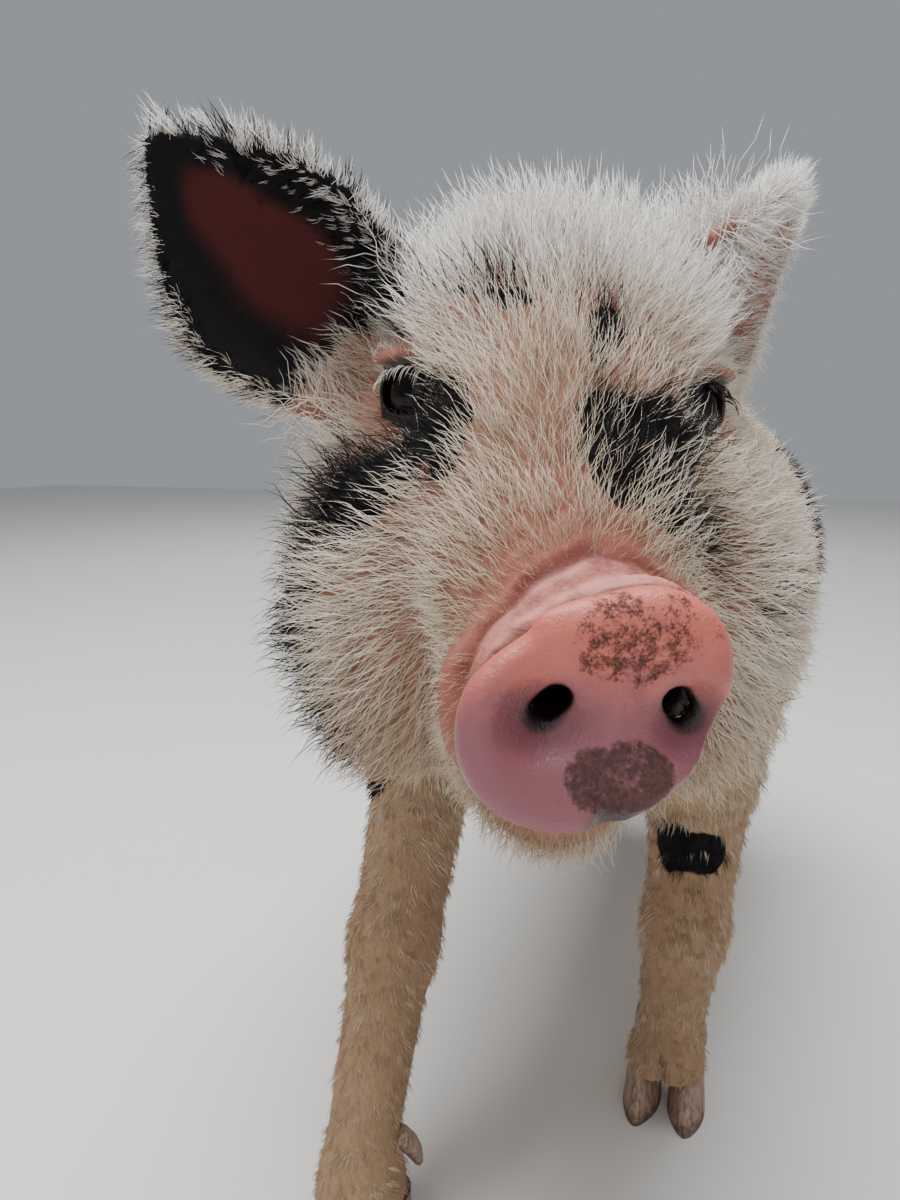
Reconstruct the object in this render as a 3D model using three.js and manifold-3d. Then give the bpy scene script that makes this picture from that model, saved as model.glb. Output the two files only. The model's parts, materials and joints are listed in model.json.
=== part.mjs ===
// A young kunekune pig, standing with one front foot ahead and its head turned a little to its left.
// Millimetres, +Z up. The pig faces -Y and its left side is +X.
// The origin is on the floor, under the middle of the model's bounding box.

import * as THREE from 'three';
import { mergeVertices } from 'three/addons/utils/BufferGeometryUtils.js';
import Module from 'manifold-3d';

const wasm = await Module();
wasm.setup();
const { Manifold } = wasm;

const vec = (x, y, z) => new THREE.Vector3(x, y, z);
const rad = THREE.MathUtils.degToRad;

// Driving dimensions of the trunk. Y is counted from the shoulders, backwards.
const BACK_HEIGHT = 290;
const TRUNK_HALF_WIDTH = 92;
const TRUNK_DEPTH = 158;
const RUMP_Y = 276;
const LEG_CUT_HEIGHT = 126;
const NECK_CUT_Y = -30;

// The head's own frame starts midway between the eyes, and is turned as a whole.
const EYE_HEIGHT = 271;
const HEAD_PLACE = vec(18, -93, EYE_HEIGHT);
const HEAD_YAW = rad(20);
const HEAD_ROLL = rad(3);
const HEAD_BACK_Y = 30;
const SNOUT_REACH = 82;
const SNOUT_SIDEWAYS = 3.4;
const SNOUT_DROP = 60;
const SNOUT_TILT = rad(4);
const SNOUT_TURN = rad(8);
const SNOUT_WIDTH = 50;
const SNOUT_HEIGHT = 46;
const SNOUT_COLLAR = 12;
const NOSTRIL_SPACING = 25;
const EYE_SPACING = 77;
const EYE_RADIUS = 9.5;
const EYE_TURN = rad(50);
const LID_THICKNESS = 2.2;

// Ears: both alike, each turned its own way.
const EAR_LENGTH = 75;
const EAR_UPPER_WIDTH = 28;
const EAR_LOWER_WIDTH = 37.5;
const EAR_TAPER = 1.67;
const EAR_THICKNESS = 3.6;

// Feet: the front of each pair of toes on the floor.
const CLAW_WIDTH = 14.4;
const CLAW_LENGTH = 31;
const CORONET_HEIGHT = 17;
const CORONET_SLOPE = rad(14);

const GAP = 0.3;
const HALF_GAP = GAP / 2;

const COLOURS = {
  skin: 0xd8bfa6,
  snout: 0xd88d8a,
  ear: 0x8a7470,
  claw: 0x9a8072,
  eye: 0x120c0a,
};
const finish = (name, roughness) =>
  new THREE.MeshStandardMaterial({ color: COLOURS[name], roughness, metalness: 0 });
const MATERIALS = {
  skin: finish('skin', 0.85),
  snout: finish('snout', 0.45),
  ear: finish('ear', 0.85),
  claw: finish('claw', 0.6),
  eye: finish('eye', 0.08),
};

// Distance fields: each shape gives its rough distance at a point, and shapes melt together.

const meltTwo = (a, b, width) => {
  const h = Math.max(width - Math.abs(a - b), 0) / width;
  return Math.min(a, b) - h * h * width * 0.25;
};

const melt = (width, ...shapes) => (p) =>
  shapes.reduce((sum, shape) => meltTwo(sum, shape(p), width), 1e3);

const ball = (centre, radii) => (p) => {
  const x = p.x - centre.x;
  const y = p.y - centre.y;
  const z = p.z - centre.z;
  const k0 = Math.hypot(x / radii.x, y / radii.y, z / radii.z);
  const k1 = Math.hypot(x / radii.x ** 2, y / radii.y ** 2, z / radii.z ** 2);
  return k1 > 0 ? (k0 * (k0 - 1)) / k1 : -Math.min(radii.x, radii.y, radii.z);
};

const limb = (a, b, radiusA, radiusB) => {
  const axis = b.clone().sub(a);
  const lengthSq = axis.lengthSq();
  return (p) => {
    const q = p.clone().sub(a);
    const t = THREE.MathUtils.clamp(q.dot(axis) / lengthSq, 0, 1);
    return q.addScaledVector(axis, -t).length() - radiusA - (radiusB - radiusA) * t;
  };
};

const carve = (width, shape, cutter) => (p) => -meltTwo(-shape(p), cutter(p), width);

const mirrored = (shape) => (p) => shape(vec(Math.abs(p.x), p.y, p.z));

// Trunk: chest, belly and rump, with the shoulder and the ham on each side.
const trunkMiddleZ = BACK_HEIGHT - TRUNK_DEPTH / 2;
const trunk = melt(
  34,
  ball(vec(0, 8, trunkMiddleZ - 4), vec(TRUNK_HALF_WIDTH - 9, 68, TRUNK_DEPTH / 2 - 2)),
  ball(vec(0, 112, trunkMiddleZ - 3), vec(TRUNK_HALF_WIDTH + 1, 128, TRUNK_DEPTH / 2 - 1)),
  ball(vec(0, RUMP_Y - 74, trunkMiddleZ - 1), vec(TRUNK_HALF_WIDTH - 10, 74, TRUNK_DEPTH / 2 - 9)),
  mirrored(ball(vec(40, -2, 188), vec(33, 40, 56))),
  mirrored(ball(vec(38, RUMP_Y - 64, 182), vec(35, 48, 60))),
);

// Legs: joint points from the top down, with the radius at each.
const FRONT_RADII = [27, 20, 15.5, 12.6];
const HIND_RADII = [38, 27, 14.5, 12.8];
const legs = {
  front_left: {
    joints: [vec(50, -8, 190), vec(54, 8, 140), vec(51, -5, 80), vec(47, -3, 32)],
    toe: vec(46, -17, 0),
    radii: FRONT_RADII,
  },
  front_right: {
    joints: [vec(-46, -18, 190), vec(-47, -20, 142), vec(-45, -58, 84), vec(-42, -92, 34)],
    toe: vec(-40, -113, 0),
    radii: FRONT_RADII,
  },
  hind_left: {
    joints: [vec(40, 210, 190), vec(47, 184, 140), vec(44, 226, 88), vec(43, 204, 32)],
    toe: vec(43, 188, 0),
    radii: HIND_RADII,
  },
  hind_right: {
    joints: [vec(-40, 212, 190), vec(-47, 202, 140), vec(-44, 252, 88), vec(-43, 240, 32)],
    toe: vec(-43, 226, 0),
    radii: HIND_RADII,
  },
};
const FOOT_BACK = 15;
const legShape = ({ joints, toe, radii }) => {
  const parts = joints.slice(1).map((joint, i) => limb(joints[i], joint, radii[i], radii[i + 1]));
  const foot = ball(vec(toe.x, toe.y + FOOT_BACK, 21), vec(15.6, 17, 14));
  return melt(9, ...parts, foot);
};

// Head, in its own frame: x to the pig's left, y backwards, z up, from midway between the eyes.
const headMatrix = new THREE.Matrix4()
  .makeRotationFromEuler(new THREE.Euler(0, HEAD_ROLL, HEAD_YAW, 'ZYX'))
  .setPosition(HEAD_PLACE);
const headInverse = headMatrix.clone().invert();
const snoutCentre = vec(SNOUT_SIDEWAYS, -SNOUT_REACH, -SNOUT_DROP);
const snoutNormal = vec(Math.sin(SNOUT_TURN), -Math.cos(SNOUT_TURN), Math.tan(SNOUT_TILT)).normalize();
const muzzleEnd = snoutCentre.clone().addScaledVector(snoutNormal, -24);
const upperHead = melt(
  18,
  ball(vec(0, 22, 4), vec(46, 43, 41)),
  ball(vec(0, -8, -2), vec(32, 30, 34)),
  limb(vec(0, -18, -26), muzzleEnd, 35, 23.5),
  mirrored(ball(vec(33, 16, -54), vec(34, 40, 54))),
  mirrored(ball(vec(25, 0, 13), vec(12, 13, 8))),
);
const jaw = limb(vec(0, 8, -80), vec(0, -50, -83), 31, 18);
const eyeLook = vec(Math.sin(EYE_TURN), -Math.cos(EYE_TURN), 0.06).normalize();
const eyeCentre = vec(EYE_SPACING / 2, 0, 0).addScaledVector(eyeLook, -EYE_RADIUS);
const EYE_HOLLOW_RADIUS = 19;
const hollow = ball(
  eyeCentre.clone().addScaledVector(eyeLook, EYE_RADIUS - 2 + EYE_HOLLOW_RADIUS),
  vec(EYE_HOLLOW_RADIUS, EYE_HOLLOW_RADIUS, EYE_HOLLOW_RADIUS),
);
const skull = carve(9, melt(7, upperHead, jaw), mirrored(hollow));
const headShape = (p) => skull(p.clone().applyMatrix4(headInverse));

const neckStart = vec(0, 2, 226);
const neckEnd = vec(0, 50, -27).applyMatrix4(headMatrix);
const neckShape = limb(neckStart, neckEnd, 70, 59);

const legShapes = Object.values(legs).map(legShape);
const body = melt(26, trunk, neckShape);
const bodyAndHead = melt(16, body, headShape);
const pig = (p) => legShapes.reduce((sum, leg) => meltTwo(sum, leg(p), 12), bodyAndHead(p));

// Meshes the surface where a field is zero, inside a box, on cubes of the given size.
// Each cube that the surface crosses gets one point, and each crossed cube edge gets one quad.
const surfaceOf = (field, low, high, cell) => {
  const count = ['x', 'y', 'z'].map((k) => Math.ceil((high[k] - low[k]) / cell) + 3);
  const [nx, ny, nz] = count;
  const at = (i, j, k) => (i * ny + j) * nz + k;
  const place = (i, j, k) =>
    vec(low.x + (i - 1) * cell, low.y + (j - 1) * cell, low.z + (k - 1) * cell);
  const inBox = (p) =>
    Math.max(low.x - p.x, p.x - high.x, low.y - p.y, p.y - high.y, low.z - p.z, p.z - high.z);
  const clipped = (p) => Math.max(field(p), inBox(p));
  const values = new Float32Array(nx * ny * nz);
  for (let i = 0; i < nx; i++)
    for (let j = 0; j < ny; j++)
      for (let k = 0; k < nz; k++) values[at(i, j, k)] = clipped(place(i, j, k)) || 1e-6;

  const slope = (p) => {
    const e = 0.05;
    const along = (dx, dy, dz) =>
      clipped(vec(p.x + dx, p.y + dy, p.z + dz)) - clipped(vec(p.x - dx, p.y - dy, p.z - dz));
    return vec(along(e, 0, 0), along(0, e, 0), along(0, 0, e)).divideScalar(2 * e);
  };
  // Moves a point onto the surface, but keeps it inside its own cube.
  const settle = (p, corner) => {
    const margin = vec(cell, cell, cell).multiplyScalar(0.06);
    const least = corner.clone().add(margin);
    const most = corner.clone().addScalar(cell).sub(margin);
    for (let step = 0; step < 3; step++) {
      const g = slope(p);
      p.addScaledVector(g, -clipped(p) / Math.max(g.lengthSq(), 0.25)).clamp(least, most);
    }
    return p;
  };

  const corners = [0, 1, 2, 3, 4, 5, 6, 7].map((c) => [c & 1, (c >> 1) & 1, (c >> 2) & 1]);
  const edges = corners.flatMap((a, ia) =>
    corners
      .map((b, ib) => [ia, ib, Math.abs(a[0] - b[0]) + Math.abs(a[1] - b[1]) + Math.abs(a[2] - b[2])])
      .filter(([x, y, apart]) => apart === 1 && x < y),
  );
  const pointOf = new Map();
  const positions = [];
  for (let i = 0; i < nx - 1; i++)
    for (let j = 0; j < ny - 1; j++)
      for (let k = 0; k < nz - 1; k++) {
        const v = corners.map(([a, b, c]) => values[at(i + a, j + b, k + c)]);
        if (v.every((n) => n > 0) || v.every((n) => n < 0)) continue;
        const sum = vec(0, 0, 0);
        let crossed = 0;
        for (const [a, b] of edges) {
          if (v[a] > 0 === v[b] > 0) continue;
          const t = v[a] / (v[a] - v[b]);
          const pa = place(i + corners[a][0], j + corners[a][1], k + corners[a][2]);
          const pb = place(i + corners[b][0], j + corners[b][1], k + corners[b][2]);
          sum.add(pa.lerp(pb, t));
          crossed++;
        }
        pointOf.set(at(i, j, k), positions.length / 3);
        positions.push(...settle(sum.divideScalar(crossed), place(i, j, k)).toArray());
      }

  const index = [];
  const quad = (a, b, c, d, flip) =>
    index.push(...(flip ? [a, c, b, a, d, c] : [a, b, c, a, c, d]));
  for (let i = 1; i < nx - 1; i++)
    for (let j = 1; j < ny - 1; j++)
      for (let k = 1; k < nz - 1; k++) {
        const here = values[at(i, j, k)] > 0;
        const cells = (list) => list.map(([a, b, c]) => pointOf.get(at(i - a, j - b, k - c)));
        if (here !== values[at(i + 1, j, k)] > 0)
          quad(...cells([[0, 0, 0], [0, 1, 0], [0, 1, 1], [0, 0, 1]]), here);
        if (here !== values[at(i, j + 1, k)] > 0)
          quad(...cells([[0, 0, 0], [0, 0, 1], [1, 0, 1], [1, 0, 0]]), here);
        if (here !== values[at(i, j, k + 1)] > 0)
          quad(...cells([[0, 0, 0], [1, 0, 0], [1, 1, 0], [0, 1, 0]]), here);
      }
  return new THREE.BufferGeometry()
    .setAttribute('position', new THREE.Float32BufferAttribute(positions, 3))
    .setIndex(index);
};

// Solids: a closed three.js geometry becomes a solid that can be joined and cut.
const solidOf = (geometry) => {
  const bare = geometry.clone();
  bare.deleteAttribute('normal');
  bare.deleteAttribute('uv');
  const merged = mergeVertices(bare, 1e-3);
  const mesh = new wasm.Mesh({
    numProp: 3,
    vertProperties: merged.attributes.position.array,
    triVerts: new Uint32Array(merged.index.array),
  });
  const made = new Manifold(mesh);
  return made;
};

const geometryOf = (solid) => {
  const mesh = solid.getMesh();
  return new THREE.BufferGeometry()
    .setAttribute('position', new THREE.BufferAttribute(mesh.vertProperties, 3))
    .setIndex(new THREE.BufferAttribute(mesh.triVerts, 1));
};

const largest = (solid) =>
  solid.decompose().reduce((best, one) => (one.volume() > best.volume() ? one : best));

// Keeps the side of a plane that its normal points to, half a gap clear of the plane.
const keepBeyond = (solid, normal, point) => {
  const n = normal.clone().normalize();
  return solid.trimByPlane(n.toArray(), n.dot(point) + HALF_GAP);
};

// A closed skin over rings of points, each ring with as many points as the next.
const loft = (rings, tip) => {
  const sides = rings[0].length;
  const points = rings.flat();
  const index = [];
  for (let r = 0; r < rings.length - 1; r++)
    for (let s = 0; s < sides; s++) {
      const a = r * sides + s;
      const b = r * sides + ((s + 1) % sides);
      index.push(a, b, b + sides, a, b + sides, a + sides);
    }
  const centre = (ring) => ring.reduce((sum, p) => sum.add(p), vec(0, 0, 0)).divideScalar(sides);
  const cap = (start, end, flip) => {
    const middle = points.push(end) - 1;
    for (let s = 0; s < sides; s++) {
      const a = start + s;
      const b = start + ((s + 1) % sides);
      index.push(...(flip ? [middle, b, a] : [middle, a, b]));
    }
  };
  cap(0, centre(rings[0]), true);
  cap((rings.length - 1) * sides, tip ?? centre(rings.at(-1)), false);
  return new THREE.BufferGeometry().setFromPoints(points).setIndex(index);
};

const ballGeometry = (centre, radii, turn = new THREE.Quaternion(), sides = 16) =>
  new THREE.SphereGeometry(1, sides, Math.round(sides * 0.7)).applyMatrix4(
    new THREE.Matrix4().compose(centre, turn, radii),
  );

const nodes = new THREE.Group();
const headGroup = new THREE.Group();
headGroup.applyMatrix4(headMatrix);
nodes.add(headGroup);
const addNode = (name, solid, material, parent = nodes) => {
  const whole = largest(solidOf(geometryOf(largest(solid))));
  const mesh = new THREE.Mesh(geometryOf(whole), material);
  mesh.name = name;
  parent.add(mesh);
  return mesh;
};

// Torso, with its neck end and the tops of the legs cut flat.
const neckCut = vec(0, NECK_CUT_Y, 0);
const legCut = vec(0, 0, LEG_CUT_HEIGHT);
const trunkSkin = surfaceOf(pig, vec(-110, NECK_CUT_Y - 24, LEG_CUT_HEIGHT - 24), vec(110, 300, 320), 15.5);
const torsoCore = keepBeyond(
  keepBeyond(solidOf(trunkSkin), vec(0, 1, 0), neckCut),
  vec(0, 0, 1),
  legCut,
);

// Neck, between the trunk and the plane behind the jowls.
const headBack = vec(0, HEAD_BACK_Y, 0);
const backwards = vec(0, 1, 0);
const headBackInBody = headBack.clone().applyMatrix4(headMatrix);
const backwardsInBody = backwards.clone().transformDirection(headMatrix);
const neckSkin = surfaceOf(pig, vec(-100, -130, 140), vec(100, NECK_CUT_Y + 24, 330), 12.5);
const neckCore = keepBeyond(
  keepBeyond(solidOf(neckSkin), vec(0, -1, 0), neckCut),
  backwardsInBody,
  headBackInBody,
);

// Head, in its own frame.
const pigFromHead = (p) => pig(p.clone().applyMatrix4(headMatrix));
const snoutBack = snoutCentre.clone().addScaledVector(snoutNormal, -SNOUT_COLLAR);
const headSkin = surfaceOf(pigFromHead, vec(-90, -90, -135), vec(90, HEAD_BACK_Y + 16, 70), 8.2);
const headCut = keepBeyond(
  keepBeyond(solidOf(headSkin), vec(0, -1, 0), headBack),
  snoutNormal.clone().negate(),
  snoutBack,
);

const sides = { left: 1, right: -1 };
const eyeParts = (side) => {
  const look = vec(side * eyeLook.x, eyeLook.y, eyeLook.z);
  const centre = vec(side * eyeCentre.x, eyeCentre.y, eyeCentre.z);
  const turn = new THREE.Quaternion().setFromRotationMatrix(
    new THREE.Matrix4().lookAt(look, vec(0, 0, 0), vec(0, 0, 1)),
  );
  const round = (radius) => ballGeometry(centre, vec(radius, radius, radius), turn, 12);
  const openingCentre = centre.clone().addScaledVector(look, EYE_RADIUS);
  const opening = ballGeometry(openingCentre, vec(8.4, 4.6, 14), turn, 12);
  return {
    ball: solidOf(round(EYE_RADIUS)),
    lids: solidOf(round(EYE_RADIUS + LID_THICKNESS)),
    socket: solidOf(round(EYE_RADIUS + GAP)),
    opening: solidOf(opening),
  };
};
const eyes = { left: eyeParts(1), right: eyeParts(-1) };

// Mouth line: a groove on each side, where the jaw meets the muzzle.
const mouthPath = (side) => {
  const course = [
    vec(0, -66, -82),
    vec(10, -63, -81),
    vec(17, -52, -77),
    vec(24, -38, -74),
    vec(32, -26, -72),
  ];
  const onSkin = course.map((point) => {
    const middle = vec(0, point.y + 14, point.z + 2);
    return pushOut(pigFromHead, middle, vec(point.x * side, point.y, point.z));
  });
  return new THREE.CatmullRomCurve3(onSkin);
};

// The point where a ray from inside a field, through a second point, comes out.
function pushOut(field, inside, through) {
  const ray = through.clone().sub(inside).normalize();
  let low = 0;
  let high = 200;
  for (let step = 0; step < 24; step++) {
    const mid = (low + high) / 2;
    if (field(inside.clone().addScaledVector(ray, mid)) < 0) low = mid;
    else high = mid;
  }
  return inside.clone().addScaledVector(ray, low);
}

const tube = (path, radius, steps) => {
  const section = new THREE.Shape();
  section.absarc(0, 0, radius, 0, Math.PI * 2);
  const options = { steps, curveSegments: 2, bevelEnabled: false, extrudePath: path };
  return solidOf(new THREE.ExtrudeGeometry(section, options));
};

let headCore = headCut;
for (const side of Object.values(sides)) headCore = headCore.subtract(tube(mouthPath(side), 1.6, 6));
for (const { lids } of Object.values(eyes)) headCore = headCore.add(lids);
for (const { opening, socket } of Object.values(eyes))
  headCore = headCore.subtract(opening).subtract(socket);

// Snout: a short collar and the round disc that the pig digs with, with two nostrils.
const snoutProfile = [
  [0, 0.8],
  [16, 0.4],
  [21.5, -0.6],
  [24.2, 0.6],
  [25, 3],
  [24, 5.4],
  [22.4, 7.2],
  [23.6, 9.4],
  [24.4, SNOUT_COLLAR - HALF_GAP],
  [0, SNOUT_COLLAR - HALF_GAP],
].map(([radius, depth]) => new THREE.Vector2(radius, depth));
const snoutTurn = new THREE.Quaternion().setFromUnitVectors(vec(0, 1, 0), snoutNormal.clone().negate());
const snoutMatrix = new THREE.Matrix4().compose(
  snoutCentre,
  snoutTurn,
  vec(SNOUT_WIDTH / 50, 1, SNOUT_HEIGHT / 50),
);
const disc = solidOf(new THREE.LatheGeometry(snoutProfile, 24).applyMatrix4(snoutMatrix));
const nostril = (side) => {
  const mouth = vec((side * NOSTRIL_SPACING) / 2, 0, 0.5).add(snoutCentre);
  return solidOf(ballGeometry(mouth, vec(4.1, 9, 4.6), new THREE.Quaternion(), 12));
};
const snout = disc.subtract(nostril(1)).subtract(nostril(-1));

// Ear: a cupped leaf, from its root in the head to its tip.
const earPlaces = {
  left: { root: vec(37, 25, 35), tip: vec(83, 77, 59), opening: vec(0.94, -0.25, -0.21) },
  right: { root: vec(-51.5, 20, 16.5), tip: vec(-110, 11, 62), opening: vec(-0.19, -0.98, -0.01) },
};
const EAR_SINK = 9;
const EAR_WIDEST = 0.4;
const earWidth = (u, v) => {
  const full = v > 0 ? EAR_UPPER_WIDTH : EAR_LOWER_WIDTH;
  if (u < EAR_WIDEST) return full * (0.76 + 0.24 * Math.sin((Math.PI / 2) * (u / EAR_WIDEST)));
  const s = (u - EAR_WIDEST) / (1 - EAR_WIDEST);
  return full * (1 - s ** EAR_TAPER);
};
const earPoint = (name, u, v, depth) => {
  const { root, tip, opening } = earPlaces[name];
  const along = tip.clone().sub(root).normalize();
  const facing = opening.clone().addScaledVector(along, -opening.dot(along)).normalize();
  const upward = facing.clone().cross(along).multiplyScalar(sides[name]);
  const cup = THREE.MathUtils.lerp(rad(64), rad(30), u);
  const radius = earWidth(u, v) / cup;
  const angle = v * cup;
  return root
    .clone()
    .addScaledVector(along, -EAR_SINK + (EAR_LENGTH + EAR_SINK) * u)
    .addScaledVector(facing, radius * (1 - Math.cos(angle)) - depth * Math.cos(angle))
    .addScaledVector(upward, (radius + depth) * Math.sin(angle));
};
const EAR_ROWS = 9;
const EAR_COLUMNS = 8;
const earSolid = (name, grow) => {
  const layer = (depth) =>
    Array.from({ length: EAR_ROWS + 1 }, (_, i) =>
      Array.from({ length: EAR_COLUMNS + 1 }, (_unused, j) => {
        const u = (i / EAR_ROWS) ** 0.85 * 0.985;
        const v = (j / EAR_COLUMNS) * 2 - 1;
        const thin = 1 - 0.45 * u - 0.25 * v * v;
        return earPoint(name, u, v, (depth * (EAR_THICKNESS * thin + 2 * grow)) / 2);
      }),
    );
  // Each ring runs up the cup's inside and down its back, from one edge to the other.
  const inside = layer(-1);
  const outside = layer(1);
  const rings = inside.map((row, i) => [...row, ...outside[i].reverse()]);
  if (name === 'left') rings.forEach((ring) => ring.reverse());
  return solidOf(loft(rings));
};

// Tail: a short tapered tube with one loose bend.
const tailPath = new THREE.CatmullRomCurve3([
  vec(0, RUMP_Y - 14, 246),
  vec(3, RUMP_Y + 6, 243),
  vec(12, RUMP_Y + 20, 228),
  vec(14, RUMP_Y + 22, 206),
  vec(2, RUMP_Y + 20, 188),
  vec(-10, RUMP_Y + 16, 178),
]);
const TAIL_ROOT_RADIUS = 7;
const TAIL_TIP_RADIUS = 2.6;
const tailSolid = () => {
  const steps = 10;
  const sidesRound = 7;
  const frames = tailPath.computeFrenetFrames(steps);
  const rings = Array.from({ length: steps + 1 }, (_, i) => {
    const t = i / steps;
    const r = THREE.MathUtils.lerp(TAIL_ROOT_RADIUS, TAIL_TIP_RADIUS, t);
    return Array.from({ length: sidesRound }, (_unused, s) => {
      const a = (s / sidesRound) * Math.PI * 2;
      return tailPath
        .getPointAt(t)
        .addScaledVector(frames.normals[i], r * Math.cos(a))
        .addScaledVector(frames.binormals[i], r * Math.sin(a));
    });
  });
  return solidOf(loft(rings));
};

// One toe's claw: its flat sole is at z 0 and its front is at y 0.
const clawSolid = (outer) => {
  const levels = [
    [0, 1, 1, 0],
    [6, 0.97, 0.94, 1.2],
    [13, 0.9, 0.84, 3.6],
    [22, 0.84, 0.72, 7],
  ];
  const sidesRound = 10;
  const rings = levels.map(([z, wide, long, back]) =>
    Array.from({ length: sidesRound }, (_, s) => {
      const a = (-s / sidesRound) * Math.PI * 2;
      const forward = Math.sin(a);
      const narrow = 1 - 0.32 * Math.max(forward, 0) ** 1.5;
      const x = Math.cos(a) * (CLAW_WIDTH / 2) * wide * narrow;
      const y = -forward * (CLAW_LENGTH / 2) * long + CLAW_LENGTH / 2 + back * 0.6;
      return vec(x - outer * 0.05 * (CLAW_LENGTH - y), y, z);
    }),
  );
  return solidOf(loft(rings));
};
const coronetNormal = vec(0, -Math.sin(CORONET_SLOPE), -Math.cos(CORONET_SLOPE));
const coronetPoint = (toe) => vec(toe.x, toe.y + FOOT_BACK, CORONET_HEIGHT);

// Locks of the coat: flat tapered blades, rooted in the surface and bent back along the hair's lie.
const LOCK_DEPTH = 3.5;
const chance = (() => {
  let state = 20250711;
  return () => {
    state = (Math.imul(state, 1664525) + 1013904223) >>> 0;
    return state / 4294967296;
  };
})();
const between = (low, high) => low + (high - low) * chance();

const lockSolid = ({ root, normal, lie, length, width, lift, sweep, depth = LOCK_DEPTH }, grow = 0) => {
  const flat = lie.clone().addScaledVector(normal, -lie.dot(normal)).normalize();
  const across = normal.clone().cross(flat);
  const half = width / 2 + grow;
  const thick = Math.max(width * 0.24, 0.9) + 2 * grow;
  const place = (t) => {
    const reach = length * t + grow * (2 * t - 1);
    const slope = lift * (1 - 0.6 * t);
    return root
      .clone()
      .addScaledVector(normal, -depth * (1 - t) ** 2 + reach * Math.sin(slope))
      .addScaledVector(flat, reach * Math.cos(slope))
      .addScaledVector(across, sweep * t * t);
  };
  const rings = [
    [0, 0.75, 1],
    [0.4, 1, 0.9],
    [0.76, 0.6, 0.7],
  ].map(([t, wide, high]) => {
    const middle = place(t);
    const tall = Math.max(thick * high, 0.6);
    return [
      middle.clone().addScaledVector(across, -half * wide).addScaledVector(normal, -tall / 3),
      middle.clone().addScaledVector(across, half * wide).addScaledVector(normal, -tall / 3),
      middle.clone().addScaledVector(normal, (tall * 2) / 3),
    ];
  });
  return solidOf(loft(rings, place(1)));
};

// A root on a field's surface, found along a ray, with the surface's normal there.
const rootOn = (field, inside, through) => {
  const root = pushOut(field, inside, through);
  const e = 0.5;
  const along = (d) => field(root.clone().add(d)) - field(root.clone().sub(d));
  const normal = vec(along(vec(e, 0, 0)), along(vec(0, e, 0)), along(vec(0, 0, e))).normalize();
  return { root, normal };
};

const joined = (solids) => Manifold.union(solids);

// A small blunt cone from its root to its tip.
const dewclawGeometry = (root, tip) => {
  const axis = tip.clone().sub(root);
  const profile = [
    [0, 0],
    [4.8, 0.1],
    [4.3, 0.7],
    [2.2, 0.96],
    [0, 1],
  ].map(([radius, share]) => new THREE.Vector2(radius, share * axis.length()));
  const turn = new THREE.Quaternion().setFromUnitVectors(vec(0, 1, 0), axis.clone().normalize());
  return new THREE.LatheGeometry(profile, 6).applyMatrix4(
    new THREE.Matrix4().compose(root, turn, vec(1, 1, 1)),
  );
};

for (const [name, leg] of Object.entries(legs)) {
  const low = vec(leg.toe.x - 34, leg.toe.y - 30, -6);
  const high = vec(leg.toe.x + 34, leg.toe.y + 90, LEG_CUT_HEIGHT + 14);
  const legSkin = surfaceOf(pig, low, high, 9.1);
  const legCore = keepBeyond(
    keepBeyond(solidOf(legSkin), vec(0, 0, -1), legCut),
    coronetNormal.clone().negate(),
    coronetPoint(leg.toe),
  );
  addNode('leg_' + name, legCore, MATERIALS.skin);
  const outside = Math.sign(leg.toe.x);
  for (const [place, offset] of [['outer', outside], ['inner', -outside]]) {
    const claw = clawSolid(-offset).translate([offset * (CLAW_WIDTH / 2 + 0.6), 0, 0]);
    const top = vec(0, FOOT_BACK, CORONET_HEIGHT);
    const cut = keepBeyond(claw, coronetNormal, top);
    const mesh = addNode('claw_' + name + '_' + place, cut, MATERIALS.claw);
    mesh.position.set(leg.toe.x, leg.toe.y, 0);
    const root = vec(leg.toe.x + offset * 9, leg.toe.y + FOOT_BACK + 12, 33);
    const tip = vec(leg.toe.x + offset * 13, leg.toe.y + FOOT_BACK + 20, 15);
    const dewclaw = solidOf(dewclawGeometry(root, tip));
    const grownLeg = solidOf(surfaceOf((p) => pig(p) - 2 * GAP, low, high, 9.1));
    addNode('dewclaw_' + name + '_' + place, dewclaw.subtract(grownLeg), MATERIALS.claw);
  }
}

// A clump of locks: each spec gives a root, and sizes drawn within a range.
const clump = (specs, grow = 0) => joined(specs.map((spec) => lockSolid(spec, grow)));

// Locks in rows over part of a surface. The middle line of the body is the ray's start.
const strew = ({ field, rows, columns, ray, lie, length, width, lift }) =>
  Array.from({ length: rows * columns }, (_, n) => {
    const u = (Math.floor(n / columns) + 0.5 + between(-0.3, 0.3)) / rows;
    const stagger = Math.floor(n / columns) % 2 ? 0.25 : -0.25;
    const v = ((n % columns) + 0.5 + stagger + between(-0.2, 0.2)) / columns;
    const { inside, through } = ray(u, v);
    const { root, normal } = rootOn(field, inside, through);
    return {
      root,
      normal,
      lie: lie(root, normal),
      length: between(...length),
      width: between(...width),
      lift: rad(between(...lift)),
      sweep: between(-3, 3),
    };
  });

// A fan of rays from a line, at an angle from straight up.
const fan = (start, end, low, high) => (u, v) => {
  const inside = start.clone().lerp(end, u);
  const angle = rad(THREE.MathUtils.lerp(low, high, v));
  return { inside, through: inside.clone().add(vec(Math.sin(angle), 0, Math.cos(angle))) };
};

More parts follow.
